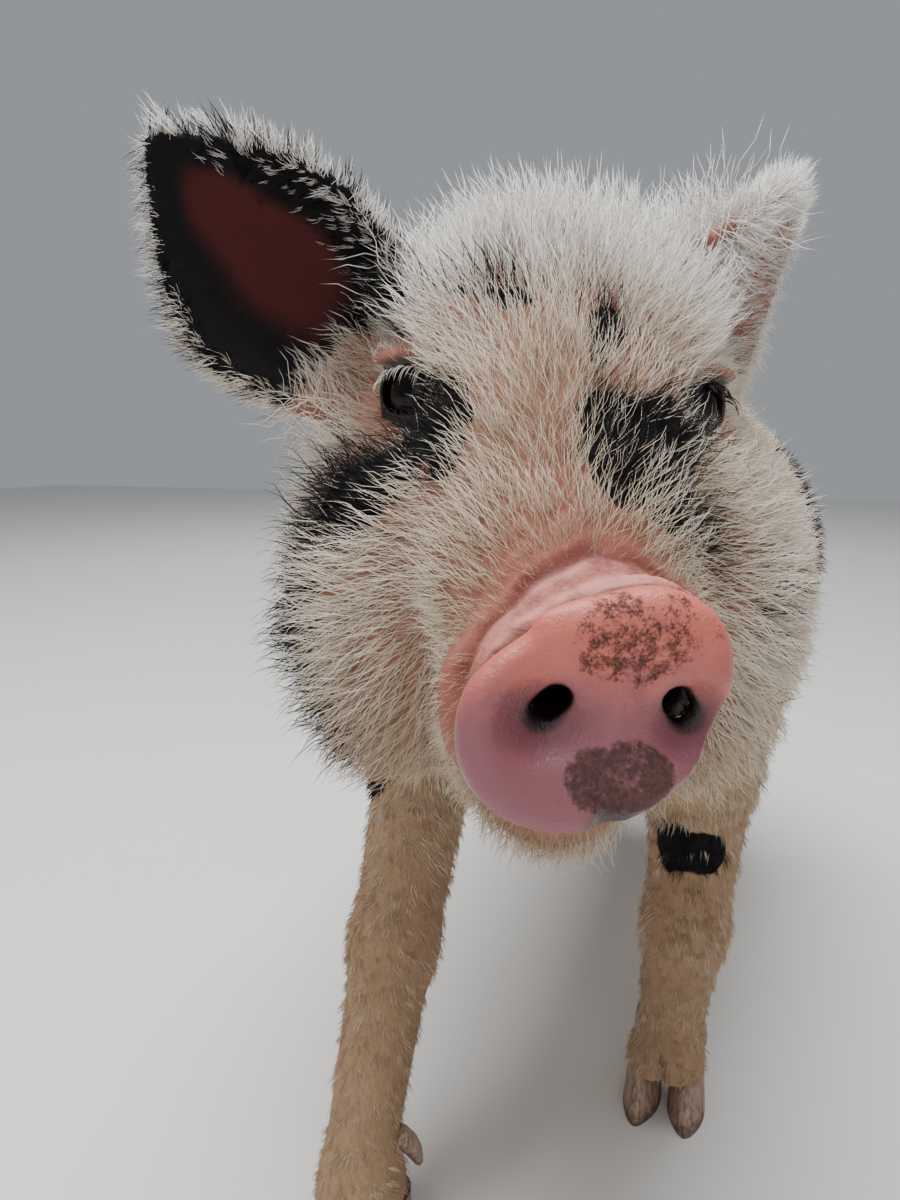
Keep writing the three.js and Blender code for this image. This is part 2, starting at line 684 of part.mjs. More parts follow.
// Torso: a crest of locks down the spine, with more over the shoulders and the rump.
const backDown = (root, normal) => vec(0, 1, -0.55 * (1 - normal.z));
const torsoLocks = [
  ...strew({
    field: pig,
    rows: 10,
    columns: 3,
    ray: fan(vec(0, NECK_CUT_Y + 14, 215), vec(0, RUMP_Y - 34, 215), -30, 30),
    lie: backDown,
    length: [21, 27],
    width: [8, 10.5],
    lift: [16, 26],
  }),
  ...[-1, 1].flatMap((side) =>
    strew({
      field: pig,
      rows: 2,
      columns: 3,
      ray: fan(vec(0, NECK_CUT_Y + 16, 215), vec(0, 34, 215), 50 * side, 104 * side),
      lie: backDown,
      length: [19, 25],
      width: [7, 9.5],
      lift: [18, 28],
    }),
  ),
  ...[-1, 1].flatMap((side) =>
    strew({
      field: pig,
      rows: 2,
      columns: 2,
      ray: fan(vec(0, RUMP_Y - 74, 200), vec(0, RUMP_Y - 42, 200), 52 * side, 108 * side),
      lie: (root, normal) => vec(0, 1, -0.9),
      length: [19, 25],
      width: [7, 9.5],
      lift: [18, 28],
    }),
  ),
];
addNode('torso', torsoCore.add(clump(torsoLocks)), MATERIALS.skin);

// Neck: a mane over the nape, and locks down each side to the throat.
const neckRay = (low, high) => (u, v) => {
  const middle = vec(0, NECK_CUT_Y - 5, 226).lerp(headBackInBody.clone().add(vec(0, 9, -34)), u);
  const angle = rad(THREE.MathUtils.lerp(low, high, v));
  const sideways = vec(1, 0, 0).applyAxisAngle(vec(0, 0, 1), HEAD_YAW * u);
  const out = sideways.multiplyScalar(Math.sin(angle)).add(vec(0, 0, Math.cos(angle)));
  return { inside: middle, through: middle.clone().add(out) };
};
const neckLocks = [
  ...strew({
    field: pig,
    rows: 2,
    columns: 5,
    ray: neckRay(-46, 46),
    lie: backDown,
    length: [20, 25],
    width: [8, 10],
    lift: [20, 30],
  }),
  ...[-1, 1].flatMap((side) =>
    strew({
      field: pig,
      rows: 2,
      columns: 4,
      ray: neckRay(60 * side, 145 * side),
      lie: (root, normal) => vec(0, 1, -0.7),
      length: [19, 25],
      width: [7, 9.5],
      lift: [20, 30],
    }),
  ),
];
const grown = (low, high, cell) => solidOf(surfaceOf((p) => pig(p) - GAP - 0.1, low, high, cell));
const grownTrunkFront = grown(
  vec(-110, NECK_CUT_Y - 24, LEG_CUT_HEIGHT - 24),
  vec(110, 60, 320),
  15.5,
).trimByPlane([0, 1, 0], NECK_CUT_Y - HALF_GAP);
addNode(
  'neck',
  neckCore.add(clump(neckLocks).subtract(grownTrunkFront).subtract(clump(torsoLocks, 0.7))),
  MATERIALS.skin,
);

// Ears, each with a fringe of locks round its edge.
const headGrown = solidOf(
  surfaceOf((p) => pigFromHead(p) - GAP - 0.1, vec(-90, -90, -135), vec(90, HEAD_BACK_Y + 60, 70), 8.2),
);
const FRINGE = 15;
const fringe = (name) =>
  Array.from({ length: FRINGE }, (_, n) => {
    const round = ((n + 0.5) / FRINGE) * 2 - 1;
    const v = Math.sign(round);
    const u = 1 - 0.82 * Math.abs(round) ** 1.25;
    const root = earPoint(name, u * 0.96, v * 0.88, 0);
    const edge = earPoint(name, u, v, 0);
    const tipward = earPlaces[name].tip.clone().sub(earPlaces[name].root).normalize();
    const out = edge.clone().sub(earPoint(name, u * 0.96, v * 0.6, 0)).normalize();
    const lie = out.clone().multiplyScalar(0.7).add(tipward.clone().multiplyScalar(0.75));
    return {
      root,
      normal: out.cross(tipward).normalize(),
      lie,
      length: between(8, 10),
      width: between(6, 8),
      lift: rad(between(-3, 5)),
      sweep: between(-2, 2),
      depth: 0,
    };
  });
const earFringes = { left: fringe('left'), right: fringe('right') };

// Head: the crown, the brow, and a ruff over each cheek down to the chin. In the head's own frame.
const headFan = (start, end, low, high) => (u, v) => {
  const inside = start.clone().lerp(end, v);
  const angle = rad(THREE.MathUtils.lerp(low, high, u));
  return { inside, through: inside.clone().add(vec(0, Math.sin(angle), Math.cos(angle))) };
};
const crownLie = (root, normal) => vec(root.x * 0.02, 0.6, 1.1);
const headLocks = [
  ...strew({
    field: pigFromHead,
    rows: 4,
    columns: 8,
    ray: headFan(vec(-34, 12, 4), vec(34, 12, 4), -46, 26),
    lie: crownLie,
    length: [17, 22],
    width: [6.5, 8.5],
    lift: [24, 40],
  }),
  ...[-1, 1].flatMap((side) =>
    strew({
      field: pigFromHead,
      rows: 4,
      columns: 4,
      ray: (u, v) => {
        const inside = vec(0, THREE.MathUtils.lerp(-14, 20, u), THREE.MathUtils.lerp(-26, -100, v));
        return { inside, through: inside.clone().add(vec(side, -0.25, -0.12)) };
      },
      lie: (root, normal) => vec(side * 0.3, 1, -0.5),
      length: [18, 25],
      width: [6.5, 8.5],
      lift: [16, 28],
    }),
  ),
];
const wholeFringe = (name, grow) => earSolid(name, grow ? GAP : 0).add(clump(earFringes[name], grow));
const neckLocksFromHead = clump(neckLocks, 0.7).transform(headInverse.toArray());
const neckGrownFromHead = grown(vec(-100, -130, 140), vec(100, NECK_CUT_Y + 30, 330), 12.5)
  .transform(headInverse.toArray())
  .trimByPlane([0, 1, 0], HEAD_BACK_Y - HALF_GAP);
const headLockSolid = clump(headLocks)
  .subtract(neckGrownFromHead)
  .subtract(neckLocksFromHead)
  .subtract(wholeFringe('left', 0.7))
  .subtract(wholeFringe('right', 0.7));
addNode('head', headCore.add(headLockSolid), MATERIALS.skin, headGroup);
addNode('snout', snout, MATERIALS.snout, headGroup);
for (const name of Object.keys(sides)) {
  addNode('ear_' + name, wholeFringe(name, 0).subtract(headGrown), MATERIALS.ear, headGroup);
  addNode('eye_' + name, eyes[name].ball, MATERIALS.eye, headGroup);
}

// Tail, with a small switch at its tip.
const tailLocks = Array.from({ length: 9 }, (_, n) => {
  const t = 0.62 + 0.04 * n;
  const angle = n * 2.4;
  const lie = tailPath.getTangentAt(t);
  const side = vec(Math.cos(angle), Math.sin(angle), 0);
  const normal = side.addScaledVector(lie, -side.dot(lie)).normalize();
  const root = tailPath.getPointAt(t).addScaledVector(normal, 2.6);
  return { root, normal, lie, length: between(15, 20), width: 4, lift: rad(between(10, 20)), sweep: 0 };
});
const grownRump = solidOf(surfaceOf((p) => pig(p) - 1.2, vec(-60, 200, 140), vec(60, 300, 310), 15.5));
addNode(
  'tail',
  tailSolid().add(clump(tailLocks)).subtract(grownRump).subtract(clump(torsoLocks, 0.7)),
  MATERIALS.skin,
);

// The whole model is set over the origin.
nodes.updateMatrixWorld(true);
const bounds = new THREE.Box3().setFromObject(nodes, true);
const middle = bounds.getCenter(vec(0, 0, 0));
nodes.position.set(-middle.x, -middle.y, -bounds.min.z);

export default nodes;
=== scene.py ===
"""A young kunekune pig with its head turned: one skin, its coat, eyes and claws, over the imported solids."""

import json
import logging
import math
from dataclasses import dataclass, field
from enum import Enum
from typing import Any, Callable, Sequence

import bpy
import numpy as np
from mathutils import Euler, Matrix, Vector
from numpy.typing import NDArray

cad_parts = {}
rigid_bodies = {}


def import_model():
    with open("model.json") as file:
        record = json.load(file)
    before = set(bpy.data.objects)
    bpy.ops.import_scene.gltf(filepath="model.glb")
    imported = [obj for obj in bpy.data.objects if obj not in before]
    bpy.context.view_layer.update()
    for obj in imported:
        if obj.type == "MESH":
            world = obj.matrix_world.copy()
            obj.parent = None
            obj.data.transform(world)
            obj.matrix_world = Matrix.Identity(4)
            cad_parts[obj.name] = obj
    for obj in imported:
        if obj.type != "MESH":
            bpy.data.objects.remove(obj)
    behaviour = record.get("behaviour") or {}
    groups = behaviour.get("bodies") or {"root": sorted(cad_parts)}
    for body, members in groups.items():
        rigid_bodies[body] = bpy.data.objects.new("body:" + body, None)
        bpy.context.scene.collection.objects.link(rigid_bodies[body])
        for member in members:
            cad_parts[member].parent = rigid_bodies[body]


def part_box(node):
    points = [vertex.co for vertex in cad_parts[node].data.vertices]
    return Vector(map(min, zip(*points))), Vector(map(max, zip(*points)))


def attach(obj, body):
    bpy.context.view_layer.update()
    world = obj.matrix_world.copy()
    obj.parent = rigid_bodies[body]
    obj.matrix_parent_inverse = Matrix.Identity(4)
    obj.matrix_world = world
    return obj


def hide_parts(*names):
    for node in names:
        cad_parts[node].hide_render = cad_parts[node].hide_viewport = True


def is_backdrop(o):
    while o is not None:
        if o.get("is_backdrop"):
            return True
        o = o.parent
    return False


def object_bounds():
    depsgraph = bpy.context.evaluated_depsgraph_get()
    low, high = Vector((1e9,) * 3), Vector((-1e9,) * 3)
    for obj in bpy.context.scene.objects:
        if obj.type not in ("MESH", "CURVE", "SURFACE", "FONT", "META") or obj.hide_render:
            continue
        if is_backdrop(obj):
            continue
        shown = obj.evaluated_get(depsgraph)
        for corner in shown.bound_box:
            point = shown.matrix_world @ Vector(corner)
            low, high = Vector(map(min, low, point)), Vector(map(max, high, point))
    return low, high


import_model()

Array = NDArray[Any]
Socket = bpy.types.NodeSocket
Tree = bpy.types.NodeTree
Material = bpy.types.Material
Thing = bpy.types.Object
Field = Callable[[Array], Array]
LOG = logging.getLogger("piglet")
MM = 0.001
FAR = 60.0
TINY = 1e-9
BODY = "root"
BLOCK_SLACK = 1.7
BLOCK_MARGIN = 6
BATCH = 400000
CELL_MARGIN = 0.05
TUFT_VARIANTS = 5
TUFT_SEED = 40
LASH_ROOT_SEED = 70
COAT_SEED = 100
LASH_SEED = 300
UP = np.array((0.0, 0.0, 1.0))


def vec(*values: float) -> Array:
    """Returns the given numbers as one array."""
    return np.array(values, float)


def norm(v: Array) -> Array:
    """Returns the length of each vector."""
    return np.sqrt(np.einsum("...i,...i->...", v, v))


def unit(v: Array) -> Array:
    """Returns each vector at length one."""
    return v / np.maximum(norm(v)[..., None], TINY)


def columns(*parts: Array | float) -> Array:
    """Returns an array with one row for each point, from its columns."""
    return np.stack(np.broadcast_arrays(*parts), 1)


def blend(share: Array, a: Array, b: Array) -> Array:
    """Returns vectors between a, at share 0, and b, at share 1."""
    return a * (1 - share[:, None]) + b * share[:, None]


def flattened(v: Array, n: Array) -> Array:
    """Returns directions laid into the planes that face along n."""
    return unit(v - n * (v * n).sum(1, keepdims=True))


def smooth(low: float, high: float, value: Array) -> Array:
    """Eases from 0 at low to 1 at high.

    Args:
        low: The value where the step starts.
        high: The value where it ends, which may be below low.
        value: What is measured.

    Returns:
        The eased share, from 0 to 1.
    """
    t = np.clip((value - low) / (high - low), 0, 1)
    return t * t * (3 - 2 * t)


def melt(width: float, *distances: Array) -> Array:
    """Joins distances so that their shapes run into each other.

    Args:
        width: How wide the join is, in millimetres.
        distances: The distance to each shape.

    Returns:
        The distance to the joined shape.
    """
    total = distances[0]
    for other in distances[1:]:
        near = np.maximum(width - np.abs(total - other), 0) / width
        total = np.minimum(total, other) - near * near * width * 0.25
    return total


def carve(width: float, shape: Array, cutter: Array) -> Array:
    """Returns the distance to a shape with a cutter taken out of it, the edge eased over width."""
    return -melt(width, -shape, cutter)


def ball(p: Array, centre: Array, radii: Array) -> Array:
    """Measures an ellipsoid along the axes.

    Args:
        p: The points.
        centre: The ellipsoid's middle.
        radii: Its radius along each axis.

    Returns:
        The rough distance to it.
    """
    q = p - centre
    k0 = norm(q / radii)
    k1 = norm(q / radii**2)
    return k0 * (k0 - 1) / np.maximum(k1, TINY)


def limb(p: Array, a: Array, b: Array, radius_a: float, radius_b: float) -> Array:
    """Measures a round bar.

    Args:
        p: The points.
        a: One end.
        b: The other end.
        radius_a: The radius at a.
        radius_b: The radius at b.

    Returns:
        The distance to the bar.
    """
    axis = b - a
    t = np.clip((p - a) @ axis / (axis @ axis), 0, 1)
    return norm(p - a - t[:, None] * axis) - radius_a - (radius_b - radius_a) * t


def near(p: Array, low: Array, high: Array, shape: Field) -> Array:
    """Measures a shape only at the points inside a box, and calls the rest far.

    Args:
        p: The points.
        low: The box's lowest corner.
        high: The box's highest corner.
        shape: The distance function.

    Returns:
        The distance at each point, or FAR outside the box.
    """
    out = np.full(len(p), FAR)
    inside = np.all((p > low) & (p < high), axis=1)
    if inside.any():
        out[inside] = shape(p[inside])
    return out


def mirrored(q: Array) -> Array:
    """Returns the points folded over to the left side."""
    return np.concatenate([np.abs(q[:, :1]), q[:, 1:]], axis=1)


def bent(points: Sequence[Array], steps: int) -> Array:
    """Bends a smooth curve through points.

    Args:
        points: The points.
        steps: How many places the curve has between two points.

    Returns:
        The places along the curve.
    """
    p = np.array([points[0] * 2 - points[1], *points, points[-1] * 2 - points[-2]])
    t = np.linspace(0, 1, steps, endpoint=False)[:, None]
    spans = []
    for a, b, c, d in zip(p, p[1:], p[2:], p[3:]):
        curve = 2 * b + (c - a) * t + (2 * a - 5 * b + 4 * c - d) * t * t + (3 * b - a - 3 * c + d) * t**3
        spans.append(0.5 * curve)
    return np.concatenate([*spans, [points[-1]]])


@dataclass(frozen=True)
class Place:
    """A turned place: its origin, and its own axes as rows in the frame that holds it."""

    origin: Array
    axes: Array

    def inward(self, p: Array) -> Array:
        """Returns points of the outer frame in this place's own frame."""
        return (p - self.origin) @ self.axes.T

    def outward(self, q: Array) -> Array:
        """Returns this place's own points in the outer frame."""
        return q @ self.axes + self.origin

    def turned(self, v: Array) -> Array:
        """Returns this place's own directions in the outer frame."""
        return v @ self.axes


def head_place() -> Place:
    """Turns the head to the pig's left and tilts it a little.

    Returns:
        The head's place.
    """
    yaw, roll = math.radians(20), math.radians(3)
    turn = np.array(Euler((0, 0, yaw)).to_matrix()) @ np.array(Euler((0, roll, 0)).to_matrix())
    return Place(vec(18, -93, 271), turn.T)


HEAD = head_place()


@dataclass
class Trunk:
    """Chest, belly and rump. Millimetres, with Y counted backwards from the shoulders."""

    back_height: float = 290
    half_width: float = 92
    depth: float = 158
    rump_y: float = 276

    def shape(self, p: Array) -> Array:
        """Measures the trunk.

        Args:
            p: The points.

        Returns:
            The distance to the trunk with its shoulders and hams.
        """
        middle = self.back_height - self.depth / 2
        half = self.depth / 2
        m = mirrored(p)
        return melt(
            34,
            ball(p, vec(0, 8, middle - 4), vec(self.half_width - 9, 68, half - 2)),
            ball(p, vec(0, 112, middle - 3), vec(self.half_width + 1, 128, half - 1)),
            ball(p, vec(0, self.rump_y - 74, middle - 1), vec(self.half_width - 10, 74, half - 9)),
            ball(m, vec(40, -2, 188), vec(33, 40, 56)),
            ball(m, vec(38, self.rump_y - 64, 182), vec(35, 48, 60)),
        )

    def neck(self, p: Array) -> Array:
        """Returns the distance to the neck."""
        end = HEAD.outward(vec(0, 50, -27))
        return limb(p, vec(0, 2, 226), end, 70, 59)


@dataclass
class Leg:
    """One leg: its joints from the top down, the radius at each, and the front of its toes."""

    name: str
    joints: tuple[Array, ...]
    radii: tuple[float, ...]
    toe: Array
    foot_back: float = 15
    coronet_height: float = 17
    coronet_slope: float = math.radians(14)

    def shape(self, p: Array) -> Array:
        """Returns the distance to the leg and its foot."""
        return near(p, self.toe - vec(62, 80, 20), self.toe + vec(62, 110, 250), self._whole)

    def _whole(self, p: Array) -> Array:
        """Measures the leg near it.

        Args:
            p: The points.

        Returns:
            The distance to the leg and its foot.
        """
        foot = ball(p, self.toe + vec(0, self.foot_back, 21), vec(15.6, 17, 14))
        bars = [
            limb(p, a, b, ra, rb)
            for a, b, ra, rb in zip(self.joints, self.joints[1:], self.radii, self.radii[1:])
        ]
        return melt(9, *bars, foot)

    def near_foot(self, p: Array) -> Array:
        """Returns which points are in a box round the foot."""
        return np.abs(p - self.toe - FOOT_MIDDLE).max(1) < FOOT_BOX

    def coronet(self, p: Array) -> Array:
        """Returns how far a point is below the line where the claws start."""
        down = vec(0, -math.sin(self.coronet_slope), -math.cos(self.coronet_slope))
        return (p - self.toe - vec(0, self.foot_back, self.coronet_height)) @ down

    def cleft(self, p: Array) -> Array:
        """Returns the distance to the groove between the toes."""
        return limb(p, self.toe + vec(0, -3, 12), self.toe + vec(0, 3, 31), 2.6, 0.8)


FOOT_MIDDLE = vec(0, 15, 20)
FOOT_BOX = 42
FRONT_RADII = (27, 20, 15.5, 12.6)
HIND_RADII = (38, 27, 14.5, 12.8)
LEGS = (
    Leg(
        "front_left",
        (vec(50, -8, 190), vec(54, 8, 140), vec(51, -5, 80), vec(47, -3, 32)),
        FRONT_RADII,
        vec(46, -17, 0),
    ),
    Leg(
        "front_right",
        (vec(-46, -18, 190), vec(-47, -20, 142), vec(-45, -58, 84), vec(-42, -92, 34)),
        FRONT_RADII,
        vec(-40, -113, 0),
    ),
    Leg(
        "hind_left",
        (vec(40, 210, 190), vec(47, 184, 140), vec(44, 226, 88), vec(43, 204, 32)),
        HIND_RADII,
        vec(43, 188, 0),
    ),
    Leg(
        "hind_right",
        (vec(-40, 212, 190), vec(-47, 202, 140), vec(-44, 252, 88), vec(-43, 240, 32)),
        HIND_RADII,
        vec(-43, 226, 0),
    ),
)


TAIL_BENDS = (
    vec(0, 262, 246),
    vec(3, 282, 243),
    vec(12, 296, 228),
    vec(14, 298, 206),
    vec(2, 296, 188),
    vec(-10, 292, 178),
)


@dataclass
class Tail:
    """The short tail, with one loose bend."""

    root_radius: float = 7
    tip_radius: float = 2.6
    path: Array = field(default_factory=lambda: bent(TAIL_BENDS, 3))

    def shape(self, p: Array) -> Array:
        """Returns the distance to the tail."""
        return near(p, vec(-35, 225, 150), vec(40, 330, 280), self._whole)

    def _whole(self, p: Array) -> Array:
        """Measures the tail near it.

        Args:
            p: The points.

        Returns:
            The distance to the tail.
        """
        radii = np.linspace(self.root_radius, self.tip_radius, len(self.path))
        bars = [limb(p, *self.path[i : i + 2], *radii[i : i + 2]) for i in range(len(self.path) - 1)]
        return melt(3, *bars)

    def along(self, p: Array) -> tuple[Array, Array, Array]:
        """Finds where points are along the tail.

        Args:
            p: The points.

        Returns:
            The distance to the tail's middle line, the share of its length, and its direction there.
        """
        gaps = norm(p[:, None] - self.path[None])
        nearest = gaps.argmin(1)
        ways = unit(np.gradient(self.path, axis=0))
        return gaps.min(1), nearest / (len(self.path) - 1), ways[nearest]


@dataclass
class Snout:
    """The round disc that the pig digs with, its nostrils and the folds behind it, in the head's frame."""

    width: float = 50
    height: float = 46
    lean: float = 0.20
    top_lean: float = 0.13
    thickness: float = 7.2
    nostril_spacing: float = 27
    nostril_shift: float = 4.6
    nostril_drop: float = 0.5
    centre: Array = field(default_factory=lambda: vec(3.4, -82, -60))
    turn: float = math.radians(8)
    tilt: float = math.radians(4)
    rim: float = 3.3
    flat_way: tuple[float, float] = (-0.475, 0.88)
    flat_reach: float = 18.5

    def __post_init__(self) -> None:
        """Sets the disc's own place: x across, y up and z out of the disc."""
        out = unit(vec(math.sin(self.turn), -math.cos(self.turn), math.tan(self.tilt)))
        across = unit(np.cross(UP, out))
        self.place = Place(self.centre, np.array([across, np.cross(out, across), out]))

    def coordinates(self, q: Array) -> tuple[Array, Array, Array]:
        """Returns points of the head's frame as across, up and out of the disc."""
        s = self.place.inward(q)
        return s[:, 0], s[:, 1], s[:, 2]

    def reach(self, across: Array, up: Array) -> Array:
        """Measures from the disc's middle to its outline, which is flattened at one corner.

        Args:
            across: The places across the disc.
            up: The places up it.

        Returns:
            How far out each place is, half the disc's height at its edge.
        """
        leaning = across - (self.lean + self.top_lean * smooth(-4, 14, up)) * up
        around = np.hypot(leaning / (self.width / 2), up / (self.height / 2)) * self.height / 2
        corner = self.flat_way[0] * across + self.flat_way[1] * up - self.flat_reach + self.height / 2
        return -melt(5, -around, -corner)

    def ring(self, q: Array, grow: float, depth: float, tube: float, sink: float) -> Array:
        """Measures a fold of skin round the back of the disc, which sinks into the muzzle below.

        Args:
            q: Points in the head's frame.
            grow: How far the fold's middle line is outside the disc's edge, at the top.
            depth: How far it is behind the disc.
            tube: Its thickness, as a radius.
            sink: How much nearer to the middle it runs at the bottom.

        Returns:
            The distance to the fold.
        """
        across, up, out = self.coordinates(q)
        top = smooth(-0.35, 0.6, up / np.maximum(np.hypot(across - self.lean * up, up), 1))
        grow_here = grow - sink * (1 - top)
        return np.hypot(self.reach(across, up) - self.height / 2 - grow_here, out + depth) - tube

    def disc(self, q: Array) -> Array:
        """Measures the disc.

        Args:
            q: Points in the head's frame.

        Returns:
            The distance to the disc, with its raised rim, its hollow face, its lip and its chin.
        """
        across, up, out = self.coordinates(q)
        half = self.thickness / 2
        wide = np.maximum(self.reach(across, up) - self.height / 2 + self.rim, 0)
        deep = np.maximum(np.abs(out + half) - half + self.rim, 0)
        face = melt(3, np.hypot(wide, deep) - self.rim, self.ring(q, -self.rim, 3.0, self.rim, 0.0))
        own = columns(across, up, out)
        face = carve(6, face, limb(own, vec(-9, 0, 15.2), vec(9, 0, 15.2), 15.9, 15.9))
        lip = ball(own, vec(4.5, 15.5, -1.8), vec(17, 5.8, 4.2))
        ridge = limb(own, vec(self.nostril_shift, 7, -2.6), vec(self.nostril_shift - 0.6, -7, -2.8), 3.0, 3.0)
        face = melt(4, melt(3, face, lip), ridge)
        chin = limb(own, vec(2, -14, 1.4), vec(3.5, -26, -1.5), 1.1, 2.2)
        return carve(3, face, chin)

    def nostril_places(self, q: Array) -> list[Array]:
        """Sees points from each nostril.

        Args:
            q: Points in the head's frame.

        Returns:
            The points for each side: x away from the middle, y up and z out.
        """
        across, up, out = self.coordinates(q)
        across = across - self.nostril_shift
        half = self.nostril_spacing / 2
        return [columns(side * across - half, up + self.nostril_drop, out) for side in (-1, 1)]

    def hole(self, s: Array) -> Array:
        """Measures the inside of a nostril, a slit that narrows into one bore.

        Args:
            s: Points as seen from the nostril.

        Returns:
            The distance to the inside.
        """
        end = vec(-3.4, 3.6, -12)
        lower = limb(s, vec(1.4, -1.2, -1.6), end, 2.7, 2.4)
        upper = limb(s, vec(-1.2, 1.8, -1.0), end, 2.6, 2.4)
        return melt(1.5, lower, upper)

    def nostrils(self, q: Array, skin: Array) -> Array:
        """Cuts the two nostrils.

        Args:
            q: Points in the head's frame.
            skin: The skin's distance so far.

        Returns:
            The skin's distance with the nostrils.
        """
        for s in self.nostril_places(q):
            dish = ball(s, vec(0.8, -1.6, 1.2), vec(9.4, 8.4, 6.0))
            skin = carve(1.4, carve(2.4, skin, dish), self.hole(s))
        return skin


@dataclass
class Eye:
    """One eye: the ball, its two lids and the opening between them, in the head's frame."""

    side: int
    spacing: float = 77
    radius: float = 9.5
    lid: float = 2.0
    opening: tuple[float, float, float] = (10.2, 6.2, 15)
    socket_turn: float = math.radians(50)
    look_turn: float = math.radians(26)
    bulge: tuple[float, float, float] = (3.0, -3.0, 0)

    def __post_init__(self) -> None:
        """Sets the eye's own place: x to its outer corner, y up and z where it looks."""
        out, look = (
            unit(vec(self.side * math.sin(turn), -math.cos(turn), 0.06))
            for turn in (self.socket_turn, self.look_turn)
        )
        self.solid_centre = vec(self.side * self.spacing / 2, 0, 0) - out * self.radius
        ball_centre = self.solid_centre + vec(*self.bulge) * vec(self.side, 1, 1)
        across = unit(np.cross(UP, look))
        self.socket_way = out
        self.place = Place(ball_centre, np.array([across, np.cross(look, across), look]))

    @property
    def name(self) -> str:
        """Returns left or right."""
        return "left" if self.side > 0 else "right"

    def lids(self, q: Array, skin: Array) -> Array:
        """Joins the lids to the skin and cuts the opening between them.

        Args:
            q: Points in the head's frame.
            skin: The skin's distance so far.

        Returns:
            The skin's distance with the lids.
        """
        s = self.place.inward(q)
        fold = ball(s, vec(0, 8.2, 7.6), vec(11, 3.0, 3.6))
        skin = melt(3, melt(4, skin, norm(s) - self.radius - self.lid), fold)
        valley = limb(s, vec(-self.side * 5, -0.5, 13), vec(-self.side * 17, -1, 32), 4.6, 7.5)
        slanted = columns(s[:, 0], s[:, 1] + 0.10 * self.side * s[:, 0], s[:, 2])
        slit = ball(slanted, vec(-self.side * 0.8, -0.3, self.radius), vec(*self.opening))
        skin = carve(0.9, carve(4, skin, valley), slit)
        return np.maximum(skin, -(norm(s) - self.radius - 0.15))

    def near_rim(self, q: Array) -> Array:
        """Finds the rims of the lids.

        Args:
            q: Points in the head's frame.

        Returns:
            1 at the rims, easing to 0 a little away from them.
        """
        s = self.place.inward(q)
        reach = ball(s, vec(0, -0.3, self.radius), vec(*self.opening))
        return (1 - smooth(0.8, 4.4, reach)) * smooth(16, 13, norm(s)) * (s[:, 2] > 0)


@dataclass
class Ear:
    """One ear: a cupped leaf from its root in the head to its tip, in the head's frame."""

    side: int
    root: Array
    tip: Array
    opening: Array
    length: float = 75
    sink: float = 9
    upper_width: float = 28
    lower_width: float = 37.5
    taper: float = 1.67
    thickness: float = 3.7
    widest: float = 0.4
    root_cup: float = math.radians(64)
    tip_cup: float = math.radians(30)

    def __post_init__(self) -> None:
        """Sets the ear's own place: x along it, y where it opens and z to its upper edge."""
        along = unit(self.tip - self.root)
        facing = unit(self.opening - along * (self.opening @ along))
        self.place = Place(self.root, np.array([along, facing, np.cross(facing, along) * self.side]))

    @property
    def name(self) -> str:
        """Returns left or right."""
        return "left" if self.side > 0 else "right"

    def half_width(self, u: Array, upward: Array) -> Array:
        """Measures the leaf from its middle line to an edge.

        Args:
            u: The shares of the length.
            upward: Above 0 for the upper edge and below 0 for the lower one.

        Returns:
            The width from the middle line to the edge.
        """
        beyond = np.clip((u - self.widest) / (1 - self.widest), 0, 1)
        full = np.where(upward > 0, self.upper_width, self.lower_width)
        foot = 0.76 + 0.24 * np.sin(math.pi / 2 * np.clip(u / self.widest, 0, 1))
        return full * foot * np.maximum(1 - beyond**self.taper, 0.02)

    def leaf(self, q: Array) -> tuple[Array, Array, Array]:
        """Finds where points are on the leaf.

        Args:
            q: Points in the head's frame.

        Returns:
            The share of the length, the share from the middle to the edge (below 0 on the lower
            half), and the height over the leaf's middle layer, above 0 on its back.
        """
        s = self.place.inward(q)
        u = np.clip((s[:, 0] + self.sink) / (self.length + self.sink), 0, 1)
        cup = self.root_cup + (self.tip_cup - self.root_cup) * u
        radius = self.half_width(u, s[:, 2]) / cup
        angle = np.arctan2(s[:, 2], radius - s[:, 1])
        height = np.hypot(s[:, 2], radius - s[:, 1]) - radius
        return u, angle / cup, height

    def shape(self, q: Array) -> Array:
        """Returns the distance to the ear."""
        middle = (self.root + self.tip) / 2
        return near(q, middle - 66, middle + 66, self._whole)

    def _whole(self, q: Array) -> Array:
        """Measures the ear near it.

        Args:
            q: Points in the head's frame.

        Returns:
            The distance to the ear.
        """
        s = self.place.inward(q)
        u, v, height = self.leaf(q)
        edge = (np.abs(v) - 1) * self.half_width(u, v)
        thick = self.thickness * (1 - 0.22 * u) / 2 + 0.35
        ridges = 0.8 * np.cos(v * 8.0 + 0.6) * smooth(0.62, 0.25, u) * (height < 0)
        flat = np.abs(height) - thick - ridges * smooth(1, 0.6, np.abs(v))
        outside = np.maximum(np.maximum(edge, s[:, 0] - self.length * 0.985), -s[:, 0] - self.sink - 4)
        rounding = thick * 0.8
        both = columns(flat + rounding, outside + rounding)
        return norm(np.maximum(both, 0)) + np.minimum(both.max(1), 0) - rounding


EARS = (
    Ear(1, vec(37, 25, 35), vec(83, 77, 59), vec(0.94, -0.25, -0.21)),
    Ear(-1, vec(-51.5, 20, 16.5), vec(-110, 11, 62), vec(-0.19, -0.98, -0.01)),
)


MOUTH = (vec(0, -66, -82), vec(10, -63, -81), vec(17, -52, -77), vec(24, -38, -74), vec(32, -26, -72))


